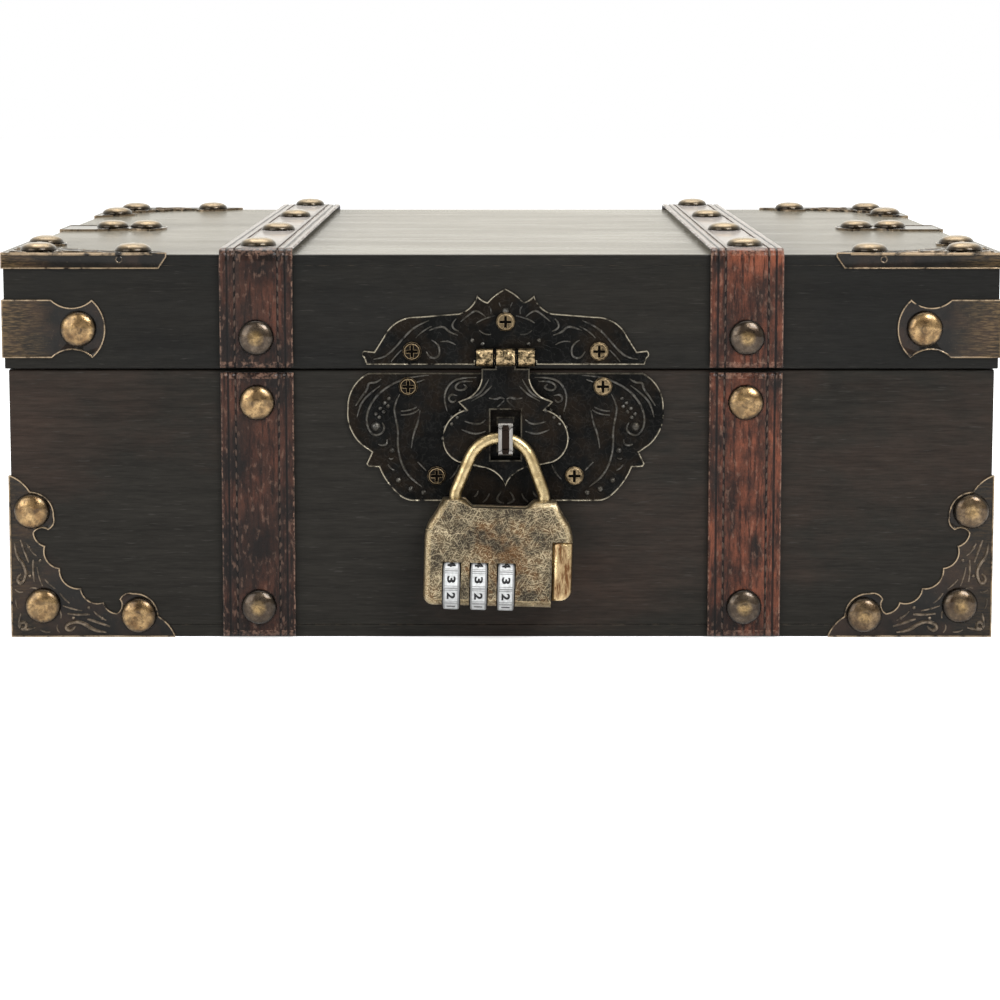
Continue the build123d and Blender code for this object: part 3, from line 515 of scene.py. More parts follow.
joints = {joint["name"]: joint for joint in frame["joints"]}
lockRight = Vector(joints["dial_left_turn"]["axis"]).normalized()
lockUp = -Vector(joints["padlock_drop"]["axis"]).normalized()
lockFront = lockRight.cross(lockUp)
dialSides = ("left", "middle", "right")
dialCentres = {side: Vector(joints[f"dial_{side}_turn"]["pos_m"]) for side in dialSides}
lockLook = {
    "under": ((0.048, 0.040, 0.031), (0.150, 0.114, 0.070)), "cloud": ((130.0, 4.0, 0.6), (0.40, 0.60)),
    "line": (0.66, 0.56, 0.37), "lines": {"Scale": 3900.0, "Low": 0.62}, "fades": 0.5,
    "faded": (-0.3, 1.0, 0.2, 0.75),
    "cut": (0.026, 0.019, 0.013), "cuts": {"Scale": 3200.0, "Low": 0.63}, "cutTurn": 0.8, "cutShows": 0.55,
    "edge": (0.36, 0.275, 0.155), "edgeShows": 0.75, "amber": (0.150, 0.072, 0.028), "amberShows": 0.75,
    "stain": (260.0, 3.0), "stainRange": (0.52, 0.74), "stainAt": (7.0 * mm, 6.0 * mm), "stainMore": 0.3,
    "stainReach": (0.0, 16.0 * mm, 1.0, 0.0), "rough": (0.0, 1.0, 0.44, 0.32), "bump": (0.25, 0.08),
}


def lockBodyFinish():
    finish, shader, vector = newFinish("scratchedBrass")
    pale = useGroup(hairGroup, Vector=vector, **lockLook["lines"])["Mask"]
    elsewhere = mapped(vector, (1, 1, 1), (0, lockLook["cutTurn"], 0))
    cuts = useGroup(hairGroup, Vector=elsewhere, **lockLook["cuts"])["Mask"]
    cloud = clouded(vector, *lockLook["cloud"])
    right, up = lockLook["stainAt"]
    values = {0: vector, 1: dialCentres["middle"] + lockRight * right + lockUp * up}
    away = addNode(vector.id_data, "ShaderNodeVectorMath", values, operation="DISTANCE").outputs["Value"]
    near = ranged(away, *lockLook["stainReach"])
    stain = plus(noised(vector, *lockLook["stain"]), times(near, lockLook["stainMore"]))
    colour = layered(
        mixed(cloud, *lockLook["under"]),
        (lockLook["edge"], faceValue(vector, "edge"), lockLook["edgeShows"]),
        (lockLook["amber"], ranged(stain, *lockLook["stainRange"]), lockLook["amberShows"]),
        (lockLook["cut"], cuts, lockLook["cutShows"]),
        (lockLook["line"], pale, ranged(minus(cloud, times(near, lockLook["fades"])), *lockLook["faded"])),
        # the cut colour again, here as painted shade in the windows
        (lockLook["cut"], faceValue(vector, "deep")),
    )
    bump = (minus(pale, cuts), *lockLook["bump"])
    finishUp(shader, colour, ranged(pale, *lockLook["rough"]), bump, Metallic=1.0)
    return finish


steelLook = {
    "polishedSteel": ((0.34, 0.325, 0.305), 0.26), "turnedSteel": ((0.5, 0.5, 0.5), 0.3), "darker": 0.7,
    "brush": (1800.0, 2.0), "brushStretch": (1, 1, 0.1), "brushRange": (0.3, 0.7),
    # deep is painted shade in the staple's sunk middle
    "deep": (0.020, 0.014, 0.011), "rougher": 0.15, "bump": (0.1, 0.05),
}


def steelFinish(name):
    finish, shader, vector = newFinish(name)
    light, rough = steelLook[name]
    brushed = noised(mapped(vector, steelLook["brushStretch"]), *steelLook["brush"])
    colour = mixed(ranged(brushed, *steelLook["brushRange"]), light, toned(light, steelLook["darker"]))
    colour = layered(colour, (steelLook["deep"], faceValue(vector, "deep")))
    rough = ranged(brushed, *steelLook["brushRange"], rough, rough + steelLook["rougher"])
    finishUp(shader, colour, rough, (brushed, *steelLook["bump"]), Metallic=1.0)
    return finish


dialLook = {
    "dust": (1200.0, 4.0, 0.6), "dustRange": (0.4, 0.75), "white": ((0.57, 0.58, 0.58), (0.36, 0.365, 0.36)),
    "edge": (0.13, 0.13, 0.13), "edgeShows": 0.75, "rough": 0.38, "bump": (0.1, 0.05), "specular": 0.3,
    "ink": ((0.008, 0.008, 0.009), (0.03, 0.03, 0.032)), "inkCloud": (3000.0, 2.0), "inkRough": 0.5,
    "inkSpecular": 0.2,
}


def dialFinish():
    finish, shader, vector = newFinish("whiteWheel")
    dust = noised(vector, *dialLook["dust"])
    colour = mixed(ranged(dust, *dialLook["dustRange"]), *dialLook["white"])
    colour = layered(colour, (dialLook["edge"], faceValue(vector, "edge"), dialLook["edgeShows"]))
    bump = (dust, *dialLook["bump"])
    finishUp(shader, colour, dialLook["rough"], bump, Specular_IOR_Level=dialLook["specular"])
    return finish


def inkFinish():
    finish, shader, vector = newFinish("dialInk")
    colour = mixed(noised(vector, *dialLook["inkCloud"]), *dialLook["ink"])
    finishUp(shader, colour, dialLook["inkRough"], Specular_IOR_Level=dialLook["inkSpecular"])
    return finish


finishes = {
    "wood": woodFinish("stainedWood", woodLook["base"]),
    "woodAcross": woodFinish("stainedWoodSide", woodLook["base"], quarter),
    "lidWood": woodFinish("waxedWood", woodLook["lid"]),
    "lidWoodAcross": woodFinish("waxedWoodSide", woodLook["lid"], quarter),
    "topWood": woodFinish("polishedTop", woodLook["top"], waxedWithSheen=True),
    "leather": leatherFinish("wornLeather", hideLook["front"]),
    "leatherTop": leatherFinish("shinyLeather", hideLook["top"]),
    "thread": threadFinish(),
    "bronze": bronzeFinish("darkBronze", bronzeLook["pressed"], **lacquer),
    "haspBronze": bronzeFinish("haspBronze", bronzeLook["hasp"]),
    "nails": nailFinish(),
    "screws": brassFinish("screwBrass"),
    "wornBrass": brassFinish("rubbedBrass"),
    "steel": steelFinish("polishedSteel"),
    "spindle": steelFinish("turnedSteel"),
    "wire": brassFinish("wireBrass"),
    "lockBody": lockBodyFinish(),
    "release": brassFinish("releaseBrass"),
    "dial": dialFinish(),
    "ink": inkFinish(),
}
print("finishes made:", len(finishes))


# Shared modelling steps

shared = {"merge": 0.002 * mm, "flat": 1, "facing": 0.99, "level": 0.05 * mm, "slopeWorn": 0.15}


def nodeCopy(name, *layers):
    bm = bmesh.new()
    bm.from_mesh(frame["nodes"][name].data)
    bmesh.ops.remove_doubles(bm, verts=bm.verts, dist=shared["merge"])
    for layer in layers:
        bm.faces.layers.float.new(layer)
    bm.normal_update()
    return bm


def flatCopy(name, *layers):
    bm = nodeCopy(name, "edge", *layers)
    limit = math.radians(shared["flat"])
    bmesh.ops.dissolve_limit(
        bm, angle_limit=limit, use_dissolve_boundaries=False, verts=bm.verts, edges=bm.edges
    )
    bm.normal_update()
    return bm


def setFaces(bm, faces, **values):
    for layerName, value in values.items():
        layer = bm.faces.layers.float[layerName]
        for face in faces:
            face[layer] = value


def sharpEdges(bm, angle):
    limit = math.radians(angle)
    return [edge for edge in bm.edges if len(edge.link_faces) == 2 and edge.calc_face_angle(0) > limit]


def softEdges(bm, width, angle=30, segments=2, chosen=None, clamp=True):
    made = bmesh.ops.bevel(
        bm, geom=sharpEdges(bm, angle) if chosen is None else chosen, offset=width, offset_type="OFFSET",
        affect="EDGES", segments=segments, profile=0.5, material=-1, clamp_overlap=clamp, loop_slide=True,
    )
    setFaces(bm, made["faces"], edge=1.0)
    return bm


def middleOf(face):
    return face.calc_center_median()


def outermost(bm, direction):
    direction = Vector(direction)
    facing = [face for face in bm.faces if face.normal.dot(direction) > shared["facing"]]
    level = max(middleOf(face).dot(direction) for face in facing)
    return [face for face in facing if level - middleOf(face).dot(direction) < shared["level"]]


def sunkenPanel(bm, faces, look):      # leaves a raised rim and drops the rest
    ring = bmesh.ops.inset_region(
        bm, faces=faces, thickness=look["rim"], depth=0, use_even_offset=True, use_boundary=True
    )["faces"]
    setFaces(bm, ring, edge=1.0)
    slope = bmesh.ops.inset_region(
        bm, faces=faces, thickness=look["step"], depth=-look["drop"], use_even_offset=True, use_boundary=True
    )["faces"]
    setFaces(bm, slope, edge=shared["slopeWorn"])
    setFaces(bm, faces, edge=0.0)
    return ring


def spun(bm, steps):
    bmesh.ops.spin(
        bm, geom=bm.verts[:] + bm.edges[:], cent=(0, 0, 0), axis=(0, 0, 1), angle=math.tau, steps=steps,
        use_merge=True, dvec=(0, 0, 0),
    )


def meshFrom(bm, name="draft"):
    mesh = bpy.data.meshes.new(name)
    bm.to_mesh(mesh)
    bm.free()
    return mesh


def addMesh(bm, mesh, place, **values):
    mesh.transform(place)
    count = len(bm.faces)
    bm.from_mesh(mesh)
    bpy.data.meshes.remove(mesh)
    made = list(bm.faces)[count:]
    setFaces(bm, made, **values)
    return made


def addSolid(bm, mesh, place, **values):
    bmesh.ops.recalc_face_normals(bm, faces=addMesh(bm, mesh, place, **values))


def addObject(name, data):
    made = bpy.data.objects.new(name, data)
    scene.collection.objects.link(made)
    return made


def meshOf(data):      # of a curve or a text
    holder = addObject("draft", data)
    mesh = bpy.data.meshes.new_from_object(holder.evaluated_get(bpy.context.evaluated_depsgraph_get()))
    bpy.data.objects.remove(holder)
    return mesh


def islandsOf(parts, neighbours):      # vertices or faces that hang together
    left = set(parts)
    while left:
        queue, island = [left.pop()], []
        while queue:
            part = queue.pop()
            island.append(part)
            beside = neighbours(part) & left
            left -= beside
            queue += beside
        yield island


def pieceName(node):
    words = node.split("_")
    return words[0] + "".join(word.capitalize() for word in words[1:])


# A piece rides on the body that its node's name begins with, unless another is given
def placePiece(bm, node, slotName, finish, body=None, weighted=True, sharp=None, extra=()):
    name = pieceName(node)
    mesh = meshFrom(bm, name)
    piece = addObject(name, mesh)
    for material in (finish, *extra):
        mesh.materials.append(finishes[material])
    mesh.polygons.foreach_set("use_smooth", [True] * len(mesh.polygons))
    if sharp:
        mesh.set_sharp_from_angle(angle=math.radians(sharp))
    if weighted:
        piece.modifiers.new("evenShading", "WEIGHTED_NORMAL").keep_sharp = True
    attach(piece, body or node.split("_")[0])
    if node in frame["nodes"]:
        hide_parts(node)


def spread(name):
    low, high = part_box(name)
    return low, high, (low + high) / 2


# The boards

boards = {"baseEdge": 0.35 * mm, "lidEdge": 0.3 * mm, "facingUp": 0.5}


def makeBoards():
    for name in frame["nodes"]:
        if not name.endswith(("_board", "_panel")):
            continue
        body = name.split("_")[0]
        across = "left" in name or "right" in name
        slotName, finish = "wood", "lidWood" if body == "lid" else "wood"
        if name == "lid_top_panel":
            slotName, finish = "lid_wood", "topWood"
        elif across:
            finish += "Across"
        bm = softEdges(flatCopy(name), boards[body + "Edge"])
        # the top panel's upward face takes the waxed copy with its painted sheen, and its edges keep the
        # lid's plain finish
        extra = ["lidWood"] if finish == "topWood" else []
        for face in bm.faces:
            face.material_index = 1 if extra and face.normal.z < boards["facingUp"] else 0
        placePiece(bm, name, slotName, finish, extra=extra)


makeBoards()
print("boards made")


# Raised ornament on the pressed metal: ridges along strokes, and small domes

ornament = {"width": 0.7 * mm, "flatten": 0.9, "tip": 0.4, "raised": {"edge": 0.12, "raised": 1.0}}
flattened = Matrix.Diagonal((1, 1, ornament["flatten"], 1))
bronzeLayers = ("edge", "glow", "gold", "deep", "raised")


def addRidges(bm, strokes, place, width=ornament["width"], look=ornament["raised"]):
    curve = bpy.data.curves.new("ridge", "CURVE")
    curve.dimensions = "3D"
    curve.bevel_depth = width / 2
    curve.bevel_resolution = 1
    curve.resolution_u = 3
    curve.use_fill_caps = True
    for stroke in strokes:
        spline = curve.splines.new("NURBS")
        spline.points.add(len(stroke) - 1)
        for point, (x, y) in zip(spline.points, stroke):
            point.co = (x * mm, y * mm, 0, 1)
        spline.points[0].radius = spline.points[-1].radius = ornament["tip"]
        spline.use_endpoint_u = True
        spline.order_u = 3
    addSolid(bm, meshOf(curve), place @ flattened, **look)
    bpy.data.curves.remove(curve)


def addBeads(bm, spots, place, radius):
    for x, y in spots:
        dome = bmesh.new()
        bmesh.ops.create_icosphere(dome, subdivisions=2, radius=radius)
        spot = place @ Matrix.Translation((x * mm, y * mm, 0)) @ flattened
        addSolid(bm, meshFrom(dome), spot, **ornament["raised"])


def leafPlace(origin, along, across, normal):
    return Matrix.Translation(origin) @ Matrix((along, across, normal)).transposed().to_4x4()


# Pressed corners and bands

fitting = {
    "rim": 0.3 * mm, "step": 0.14 * mm, "drop": 0.18 * mm, "sharp": 35, "bead": 0.5 * mm, "worn": 0.8,
    "lip": {"lid": 1.1, "base": 0.6}, "lipLong": {"lid": 41.0, "base": 43.0},
    "lipWorn": {"edge": 0.9, "raised": 0.0},
    "glow": {"lid_band": 1.0, "lid_side": 0.9, "lid_corner": 0.85, "base_corner": 0.3},
    "pinHole": {
        "fromCorner": 32.0 * mm, "below": 1.9 * mm, "radius": 0.62 * mm, "ring": 0.2 * mm,
        "proud": 0.05 * mm, "worn": 0.3,
    },
    "sideFrom": 60 * mm,
}
cornerStrokes = {     # by width, from the leaf's two outer edges, and again with the two swapped
    1.15: (
        ((1.3, 26), (1.5, 23), (3.4, 20.5), (4.4, 18.1), (3.6, 15.2), (2.2, 14.8), (1.6, 16.6), (3, 17.6)),
        ((2.9, 27), (4.1, 23.4), (5.0, 20.8)),
        ((6.3, 21.5), (6.0, 18.6), (6.5, 15.4)),
        ((2.6, 6.6), (1.7, 3.6), (3.0, 2.0), (4.4, 3.0), (3.6, 4.4)),
    ),
    0.75: (
        ((7.3, 19.4), (7.6, 16.9), (8.7, 14.2)),
        ((1.2, 13.2), (2.2, 12.2), (3.4, 12.6)),
        ((9.4, 16.0), (10.6, 14.4), (12.2, 13.4)),
        ((4.6, 26.0), (5.9, 23.4), (7.2, 22.6)),
        ((5.2, 13.6), (6.6, 13.9), (7.6, 13.1)),
        ((1.4, 10.6), (1.2, 9.0), (2.0, 7.8)),
    ),
}
cornerBeads = ((2.5, 21.4), (5.3, 17.0), (8.2, 21.3), (11.6, 11.6), (5.2, 24.9))


def outwardSides(name):
    middle = spread(name)[2]
    sides = []
    if abs(middle.x) > fitting["sideFrom"]:
        sides.append((math.copysign(1, middle.x), 0, 0))
    if "side_band" not in name:
        sides.append((0, math.copysign(1, middle.y), 0))
    if "lid_corner" in name or "side_band" in name:
        sides.append((0, 0, 1))
    if "base_corner" in name:
        sides.append((0, 0, -1))
    return sides


def addPinHole(bm, place):
    look = fitting["pinHole"]
    hole = bmesh.new()
    upright = Matrix.Rotation(quarter, 4, "X")
    ring = bmesh.ops.create_circle(hole, segments=6, radius=look["ring"], matrix=upright)
    bmesh.ops.translate(hole, verts=ring["verts"], vec=(look["radius"] + look["ring"], 0, 0))
    spun(hole, 12)
    addSolid(bm, meshFrom(hole), place, edge=look["worn"])
    # a dark disc in the hole, painted as the shade inside it
    disc = bmesh.new()
    bmesh.ops.create_circle(disc, cap_ends=True, segments=12, radius=look["radius"] + look["ring"])
    bmesh.ops.translate(disc, verts=disc.verts, vec=(0, 0, look["proud"]))
    addMesh(bm, meshFrom(disc), place, deep=1.0)


def dressCorner(bm, name):
    low, high, middle = spread(name)
    side, end = math.copysign(1, middle.x), math.copysign(1, middle.y)
    kind, up, outward = name.split("_")[0], Vector((0, 0, 1)), Vector((0, end, 0))
    corner = Vector((high.x if side > 0 else low.x, high.y if end > 0 else low.y, low.z))
    along, across, normal, fromEdge = Vector((-side, 0, 0)), up, outward, up
    long, half = fitting["lipLong"][kind], fitting["lip"][kind] / 2
    lip = [((half, half), (long / 2, half), (long, half))]
    if kind == "base":
        lip.append([(y, x) for x, y in lip[0]])
    else:
        corner.z = high.z
        across, normal, fromEdge = -outward, up, -up
        pin = fitting["pinHole"]
        hole = corner + along * pin["fromCorner"] - outward * fitting["drop"] - up * pin["below"]
        addPinHole(bm, leafPlace(hole, along, up, outward))
    place = leafPlace(corner - normal * fitting["drop"], along, across, normal)
    addRidges(bm, lip, leafPlace(corner, along, fromEdge, outward), 2 * half * mm, fitting["lipWorn"])
    for width, strokes in cornerStrokes.items():
        swapped = [[(y, x) for x, y in stroke] for stroke in strokes]
        addRidges(bm, [*strokes, *swapped], place, width * mm)
    addBeads(bm, [*cornerBeads, *((y, x) for x, y in cornerBeads if x != y)], place, fitting["bead"])


def makeFittings():
    for name in frame["nodes"]:
        if not ("corner_" in name or "band_" in name) or name.endswith("nails"):
            continue
        bm = nodeCopy(name, *bronzeLayers)
        setFaces(bm, bm.faces, edge=fitting["worn"], glow=fitting["glow"]["_".join(name.split("_")[:2])])
        for direction in outwardSides(name):
            sunkenPanel(bm, outermost(bm, direction), fitting)
        if "corner" in name:
            dressCorner(bm, name)
        placePiece(bm, name, "dark_bronze", "bronze", sharp=fitting["sharp"])


makeFittings()
print("fittings made")


# Fasteners take their places from the nails and screws of the frame

def fastenerPlaces(name):
    bm = nodeCopy(name)
    places = []
    for island in islandsOf(bm.verts, lambda vert: {edge.other_vert(vert) for edge in vert.link_edges}):
        low = Vector([min(vert.co[axis] for vert in island) for axis in range(3)])
        high = Vector([max(vert.co[axis] for vert in island) for axis in range(3)])
        size, centre = high - low, (low + high) / 2
        gaps = {axis: abs(size[(axis + 1) % 3] - size[(axis + 2) % 3]) for axis in range(3)}
        along = min(gaps, key=gaps.get)      # the two sizes across the shank are alike
        line = Vector([float(axis == along) for axis in range(3)])

        def reach(vert):
            away = vert.co - centre
            return (away - line * away.dot(line)).length

        widest = max(reach(vert) for vert in island)
        levels = [(vert.co - centre).dot(line) for vert in island if reach(vert) > 0.97 * widest]
        outward = line * math.copysign(1, sum(levels))
        seat = min(abs(level) for level in levels)
        end = min(island, key=lambda vert: round((vert.co - centre).dot(outward), 5))
        turn = outward.to_track_quat("Z", "Y").to_matrix().to_4x4()
        place = Matrix.Translation(centre + outward * seat) @ turn
        places.append((place, reach(end), seat - (end.co - centre).dot(outward)))
    bm.free()
    return sorted(places, key=lambda found: tuple(round(part, 4) for part in found[0].translation))


nail = {
    "radius": 4.9 * mm, "height": 2.2 * mm, "lip": 0.12, "rings": 7, "segments": 28, "fullness": 0.8,
    "dent": 0.15 * mm, "lump": 1.5 * mm, "dentFrom": 0.2, "upward": 4, "apart": (7.1, 3.3, 0), "turn": 2.4,
}


def nailMesh(seed, shade, shank, depth):
    bm = bmesh.new()
    lip, radius, height = nail["lip"], nail["radius"], nail["height"]
    start = (shank, -depth), (shank, 0), (radius, 0), (radius, lip * height)
    profile = [Vector((x, 0, z)) for x, z in start]
    for step in range(1, nail["rings"] + 1):
        angle = quarter * step / nail["rings"]
        rise = lip + (1 - lip) * math.sin(angle)
        profile.append(Vector((radius * math.cos(angle) ** nail["fullness"], 0, height * rise)))
    profile[-1].x = 0
    verts = [bm.verts.new(point) for point in profile]
    for pair in zip(verts, verts[1:]):
        bm.edges.new(pair)
    spun(bm, nail["segments"])
    bmesh.ops.remove_doubles(bm, verts=bm.verts, dist=0.01 * mm)
    bmesh.ops.holes_fill(bm, edges=[edge for edge in bm.edges if edge.is_boundary], sides=0)
    bmesh.ops.recalc_face_normals(bm, faces=bm.faces)
    away = bm.verts.layers.float.new("away")
    for vert in bm.verts:
        vert[away] = vert.co.xy.length / radius
        if vert.co.z > nail["dentFrom"] * height:
            dent = noise.noise(vert.co / nail["lump"] + Vector([seed * part for part in nail["apart"]]))
            outward = Vector((vert.co.x, vert.co.y, nail["upward"] * vert.co.z)).normalized()
            vert.co += outward * min(dent, 0) * nail["dent"]
    bm.faces.layers.float.new("shade")
    setFaces(bm, bm.faces, shade=shade)
    return meshFrom(bm)


nailShades = {      # 0 is gold, 1 is gunmetal
    "base_corner_nails": lambda place, index: 0.08 * (index % 3) + (0.62 if place.translation.x > 0 else 0),
    "base_strap_nails": lambda place, index: 0.9 if place.translation.z < 20 * mm else 0.15,
    "lid_corner_nails": lambda place, index: 0.15,
    "lid_band_nails": lambda place, index: 0.05 + 0.15 * (index % 2),
    # the strap nails on the lid's top get a lighter, more golden shade, a painted highlight
    "lid_strap_nails": lambda place, index: 0.3 if place.translation.z > 100 * mm else 0.9,
}


def makeNails():
    for name, shadeOf in nailShades.items():
        bm = bmesh.new()
        bm.faces.layers.float.new("shade")
        bm.verts.layers.float.new("away")
        for index, (place, shank, depth) in enumerate(fastenerPlaces(name)):
            turn = Matrix.Rotation(nail["turn"] * index, 4, "Z")
            addMesh(bm, nailMesh(index, shadeOf(place, index), shank, depth), place @ turn)
        placePiece(bm, name, "nail_brass", "nails", weighted=False)


makeNails()
print("nails made")

screw = {
    "edge": 0.12 * mm, "turn": 40, "crossReach": 1.75 * mm, "crossTop": 0.1 * mm, "dull": (1.0, 0.6, 0.0),
    "side": 2 * mm,
}


def makeScrews():
    for name in ("hasp_upper_screws", "hasp_lower_screws", "hinge_base_screws", "hinge_lid_screws"):
        body = "lid" if "upper" in name or "lid" in name else "base"
        bm = flatCopy(name, "deep", "dull")
        low, high, middle = spread(name)
        level = low.y if middle.y < 0 else high.y
        centres = [found[0].translation for found in fastenerPlaces(name)]
        # painted shade in each screw's cross
        inCross = [
            face for face in bm.faces
            if abs(middleOf(face).y - level) > screw["crossTop"]
            and min((middleOf(face) - centre).xz.length for centre in centres) < screw["crossReach"]
        ]
        setFaces(bm, inCross, deep=1.0)
        for face in bm.faces:      # the screws on the left are duller
            side = middleOf(face).x
            setFaces(bm, [face], dull=screw["dull"][(side > -screw["side"]) + (side > screw["side"])])
        placePiece(softEdges(bm, screw["edge"], screw["turn"]), name, "screw_brass", "screws", body)


makeScrews()
print("screws made")


# Leather straps

strap = {
    "thick": 1.9 * mm, "bend": 2.4 * mm, "step": 1.6 * mm, "rough": 0.1 * mm,
    "grooves": (2.1 * mm, 4.2 * mm), "grooveHalf": 0.32 * mm, "grooveDepth": 0.4 * mm, "edgeDrop": 0.3 * mm,
    "edgeRound": 0.4 * mm, "bandWidth": 1.6 * mm, "crown": 0.1 * mm, "backRoom": 0.55 * mm, "narrow": 0.98,
    "stitch": 2.3 * mm, "stitchGap": 0.9 * mm, "stitchHalf": 0.38 * mm, "stitchHigh": 0.24 * mm,
    "stitchDeep": 0.4 * mm, "stitchLean": 7, "scuffed": 0.6, "cutEdge": 0.9, "cutWear": 0.4, "topFrom": 0.8,
    "grain": 2.4 * mm, "swayLong": 3.5 * mm,
}


def strapSection(half):
    section = [(-half, -strap["edgeDrop"]), (-half + strap["edgeRound"], 0)]
    for inset in strap["grooves"]:
        x = inset - half
        section += [(x - strap["grooveHalf"], 0), (x, -strap["grooveDepth"]), (x + strap["grooveHalf"], 0)]
    section.append((strap["grooves"][1] + strap["bandWidth"] - half, 0.6 * strap["crown"]))
    return section + [(0, strap["crown"])] + [(-x, depth) for x, depth in reversed(section)]


def strapPath(name):      # gives a place, an outward normal and a heading for each distance
    low, high, middle = spread(name)
    if name.startswith("base"):
        y, outward = (low.y, -1) if middle.y < 0 else (high.y, 1)

        def along(distance):
            return Vector((0, y, high.z - distance)), Vector((0, outward, 0)), Vector((0, 0, -1))
        return along, high.z - low.z
    bend = strap["bend"]
    rise = high.z - low.z - bend
    arc = quarter * bend
    length = 2 * (rise + arc) + high.y - low.y - 2 * bend

    def along(distance):
        if distance > length / 2:
            point, normal, ahead = along(length - distance)
            point.y, normal.y, ahead.z = -point.y, -normal.y, -ahead.z
            return point, normal, ahead
        if distance <= rise:
            return Vector((0, low.y, low.z + distance)), Vector((0, -1, 0)), Vector((0, 0, 1))
        if distance <= rise + arc:
            angle = (distance - rise) / bend
            normal = Vector((0, -math.cos(angle), math.sin(angle)))
            centre = Vector((0, low.y + bend, high.z - bend))
            return centre + normal * bend, normal, Vector((0, math.sin(angle), math.cos(angle)))
        return Vector((0, low.y + bend + distance - rise - arc, high.z)), Vector((0, 0, 1)), Vector((0, 1, 0))
    return along, length


def strapBody(name):
    low, high, middle = spread(name)
    half = (high.x - low.x) / 2
    along, length = strapPath(name)
    section = strapSection(half)
    last = len(section) - 1
    count = round(length / strap["step"])
    bm = bmesh.new()
    bmesh.ops.create_grid(bm, x_segments=last, y_segments=count, size=1)
    for layer in ("edge", "groove"):
        bm.faces.layers.float.new(layer)
    columns, distances = {}, {}
    for vert in bm.verts:
        column = round((vert.co.x + 1) / 2 * last)
        distance = length * round((vert.co.y + 1) / 2 * count) / count
        columns[vert], distances[vert] = column, distance
        across, depth = section[column]
        point, normal = along(distance)[:2]
        grain = noise.noise(Vector((across, distance, middle.x)) / strap["grain"])
        lift = depth - strap["crown"] - strap["rough"] * (1 + grain)
        sway = noise.noise(Vector((middle.x, distance, 0)) / strap["swayLong"]) * strap["rough"]
        if column not in (0, last):
            sway = 0
        vert.co = point + normal * lift + Vector((middle.x + across * strap["narrow"] + sway, 0, 0))
    turnAt = high.z - low.z
    for face in bm.faces:
        touched = {columns[vert] for vert in face.verts}
        distance = sum(distances[vert] for vert in face.verts) / len(face.verts)
        fromEnd = min(distance, length - distance)
        bent = name.startswith("lid") and abs(fromEnd - turnAt) < strap["bend"]
        # painted shade in the grooves
        if min(section[column][1] for column in touched) <= -strap["grooveDepth"]:
            setFaces(bm, [face], groove=1.0)
        if touched & {0, last}:
            setFaces(bm, [face], edge=1.0)
        elif bent or fromEnd < strap["step"]:
            setFaces(bm, [face], edge=strap["scuffed"])
    bmesh.ops.recalc_face_normals(bm, faces=bm.faces)
    bm.faces.ensure_lookup_table()
    centre = bm.faces[len(bm.faces) // 2]
    if centre.normal.dot(along(length / 2)[1]) < 0:
        bmesh.ops.reverse_faces(bm, faces=bm.faces)
    bm.normal_update()
    # upward faces take the painted-sheen copy
    for face in bm.faces:
        face.material_index = 2 if face.normal.z > strap["topFrom"] else 0
    shown = set(bm.faces)
    bmesh.ops.solidify(bm, geom=bm.faces[:], thickness=strap["thick"] - strap["backRoom"])
    # the cut edges get painted shade
    cutFaces = [face for face in bm.faces if face not in shown]
    setFaces(bm, cutFaces, groove=strap["cutEdge"], edge=strap["cutWear"])
    for face in cutFaces:
        face.material_index = 0
    return bm, along, length, middle.x, half


def addStitches(bm, along, length, x, half):
    pitch = strap["stitch"] + strap["stitchGap"]
    count = int((length - strap["stitchGap"]) / pitch)
    start = (length - count * pitch + strap["stitchGap"]) / 2
    size = Matrix.Diagonal((strap["stitchHalf"], strap["stitch"] / 2, strap["stitchHigh"], 1))
    for index in range(count):
        point, normal, ahead = along(start + index * pitch + strap["stitch"] / 2)
        for side in (-1, 1):
            across = Vector((x + side * (half - strap["grooves"][1]), 0, 0))
            centre = point + across - normal * strap["stitchDeep"]
            lean = Matrix.Rotation(math.radians(strap["stitchLean"]) * side, 4, "Z")
            stitch = bmesh.new()
            bmesh.ops.create_uvsphere(stitch, u_segments=6, v_segments=4, radius=1)
            for face in stitch.faces:
                face.material_index = 1
            place = leafPlace(centre, Vector((1, 0, 0)), ahead, normal)
            addMesh(bm, meshFrom(stitch), place @ lean @ size)


def makeStraps():
    for name in frame["nodes"]:
        if "strap_" not in name or name.endswith("nails"):
            continue
        bm, along, length, x, half = strapBody(name)
        addStitches(bm, along, length, x, half)
        placePiece(bm, name, "leather", "leather", weighted=False, extra=["thread", "leatherTop"])


makeStraps()
print("straps made")


# The hasp. Its ornament is drawn for the right half, from the hasp's middle and the lid's seam

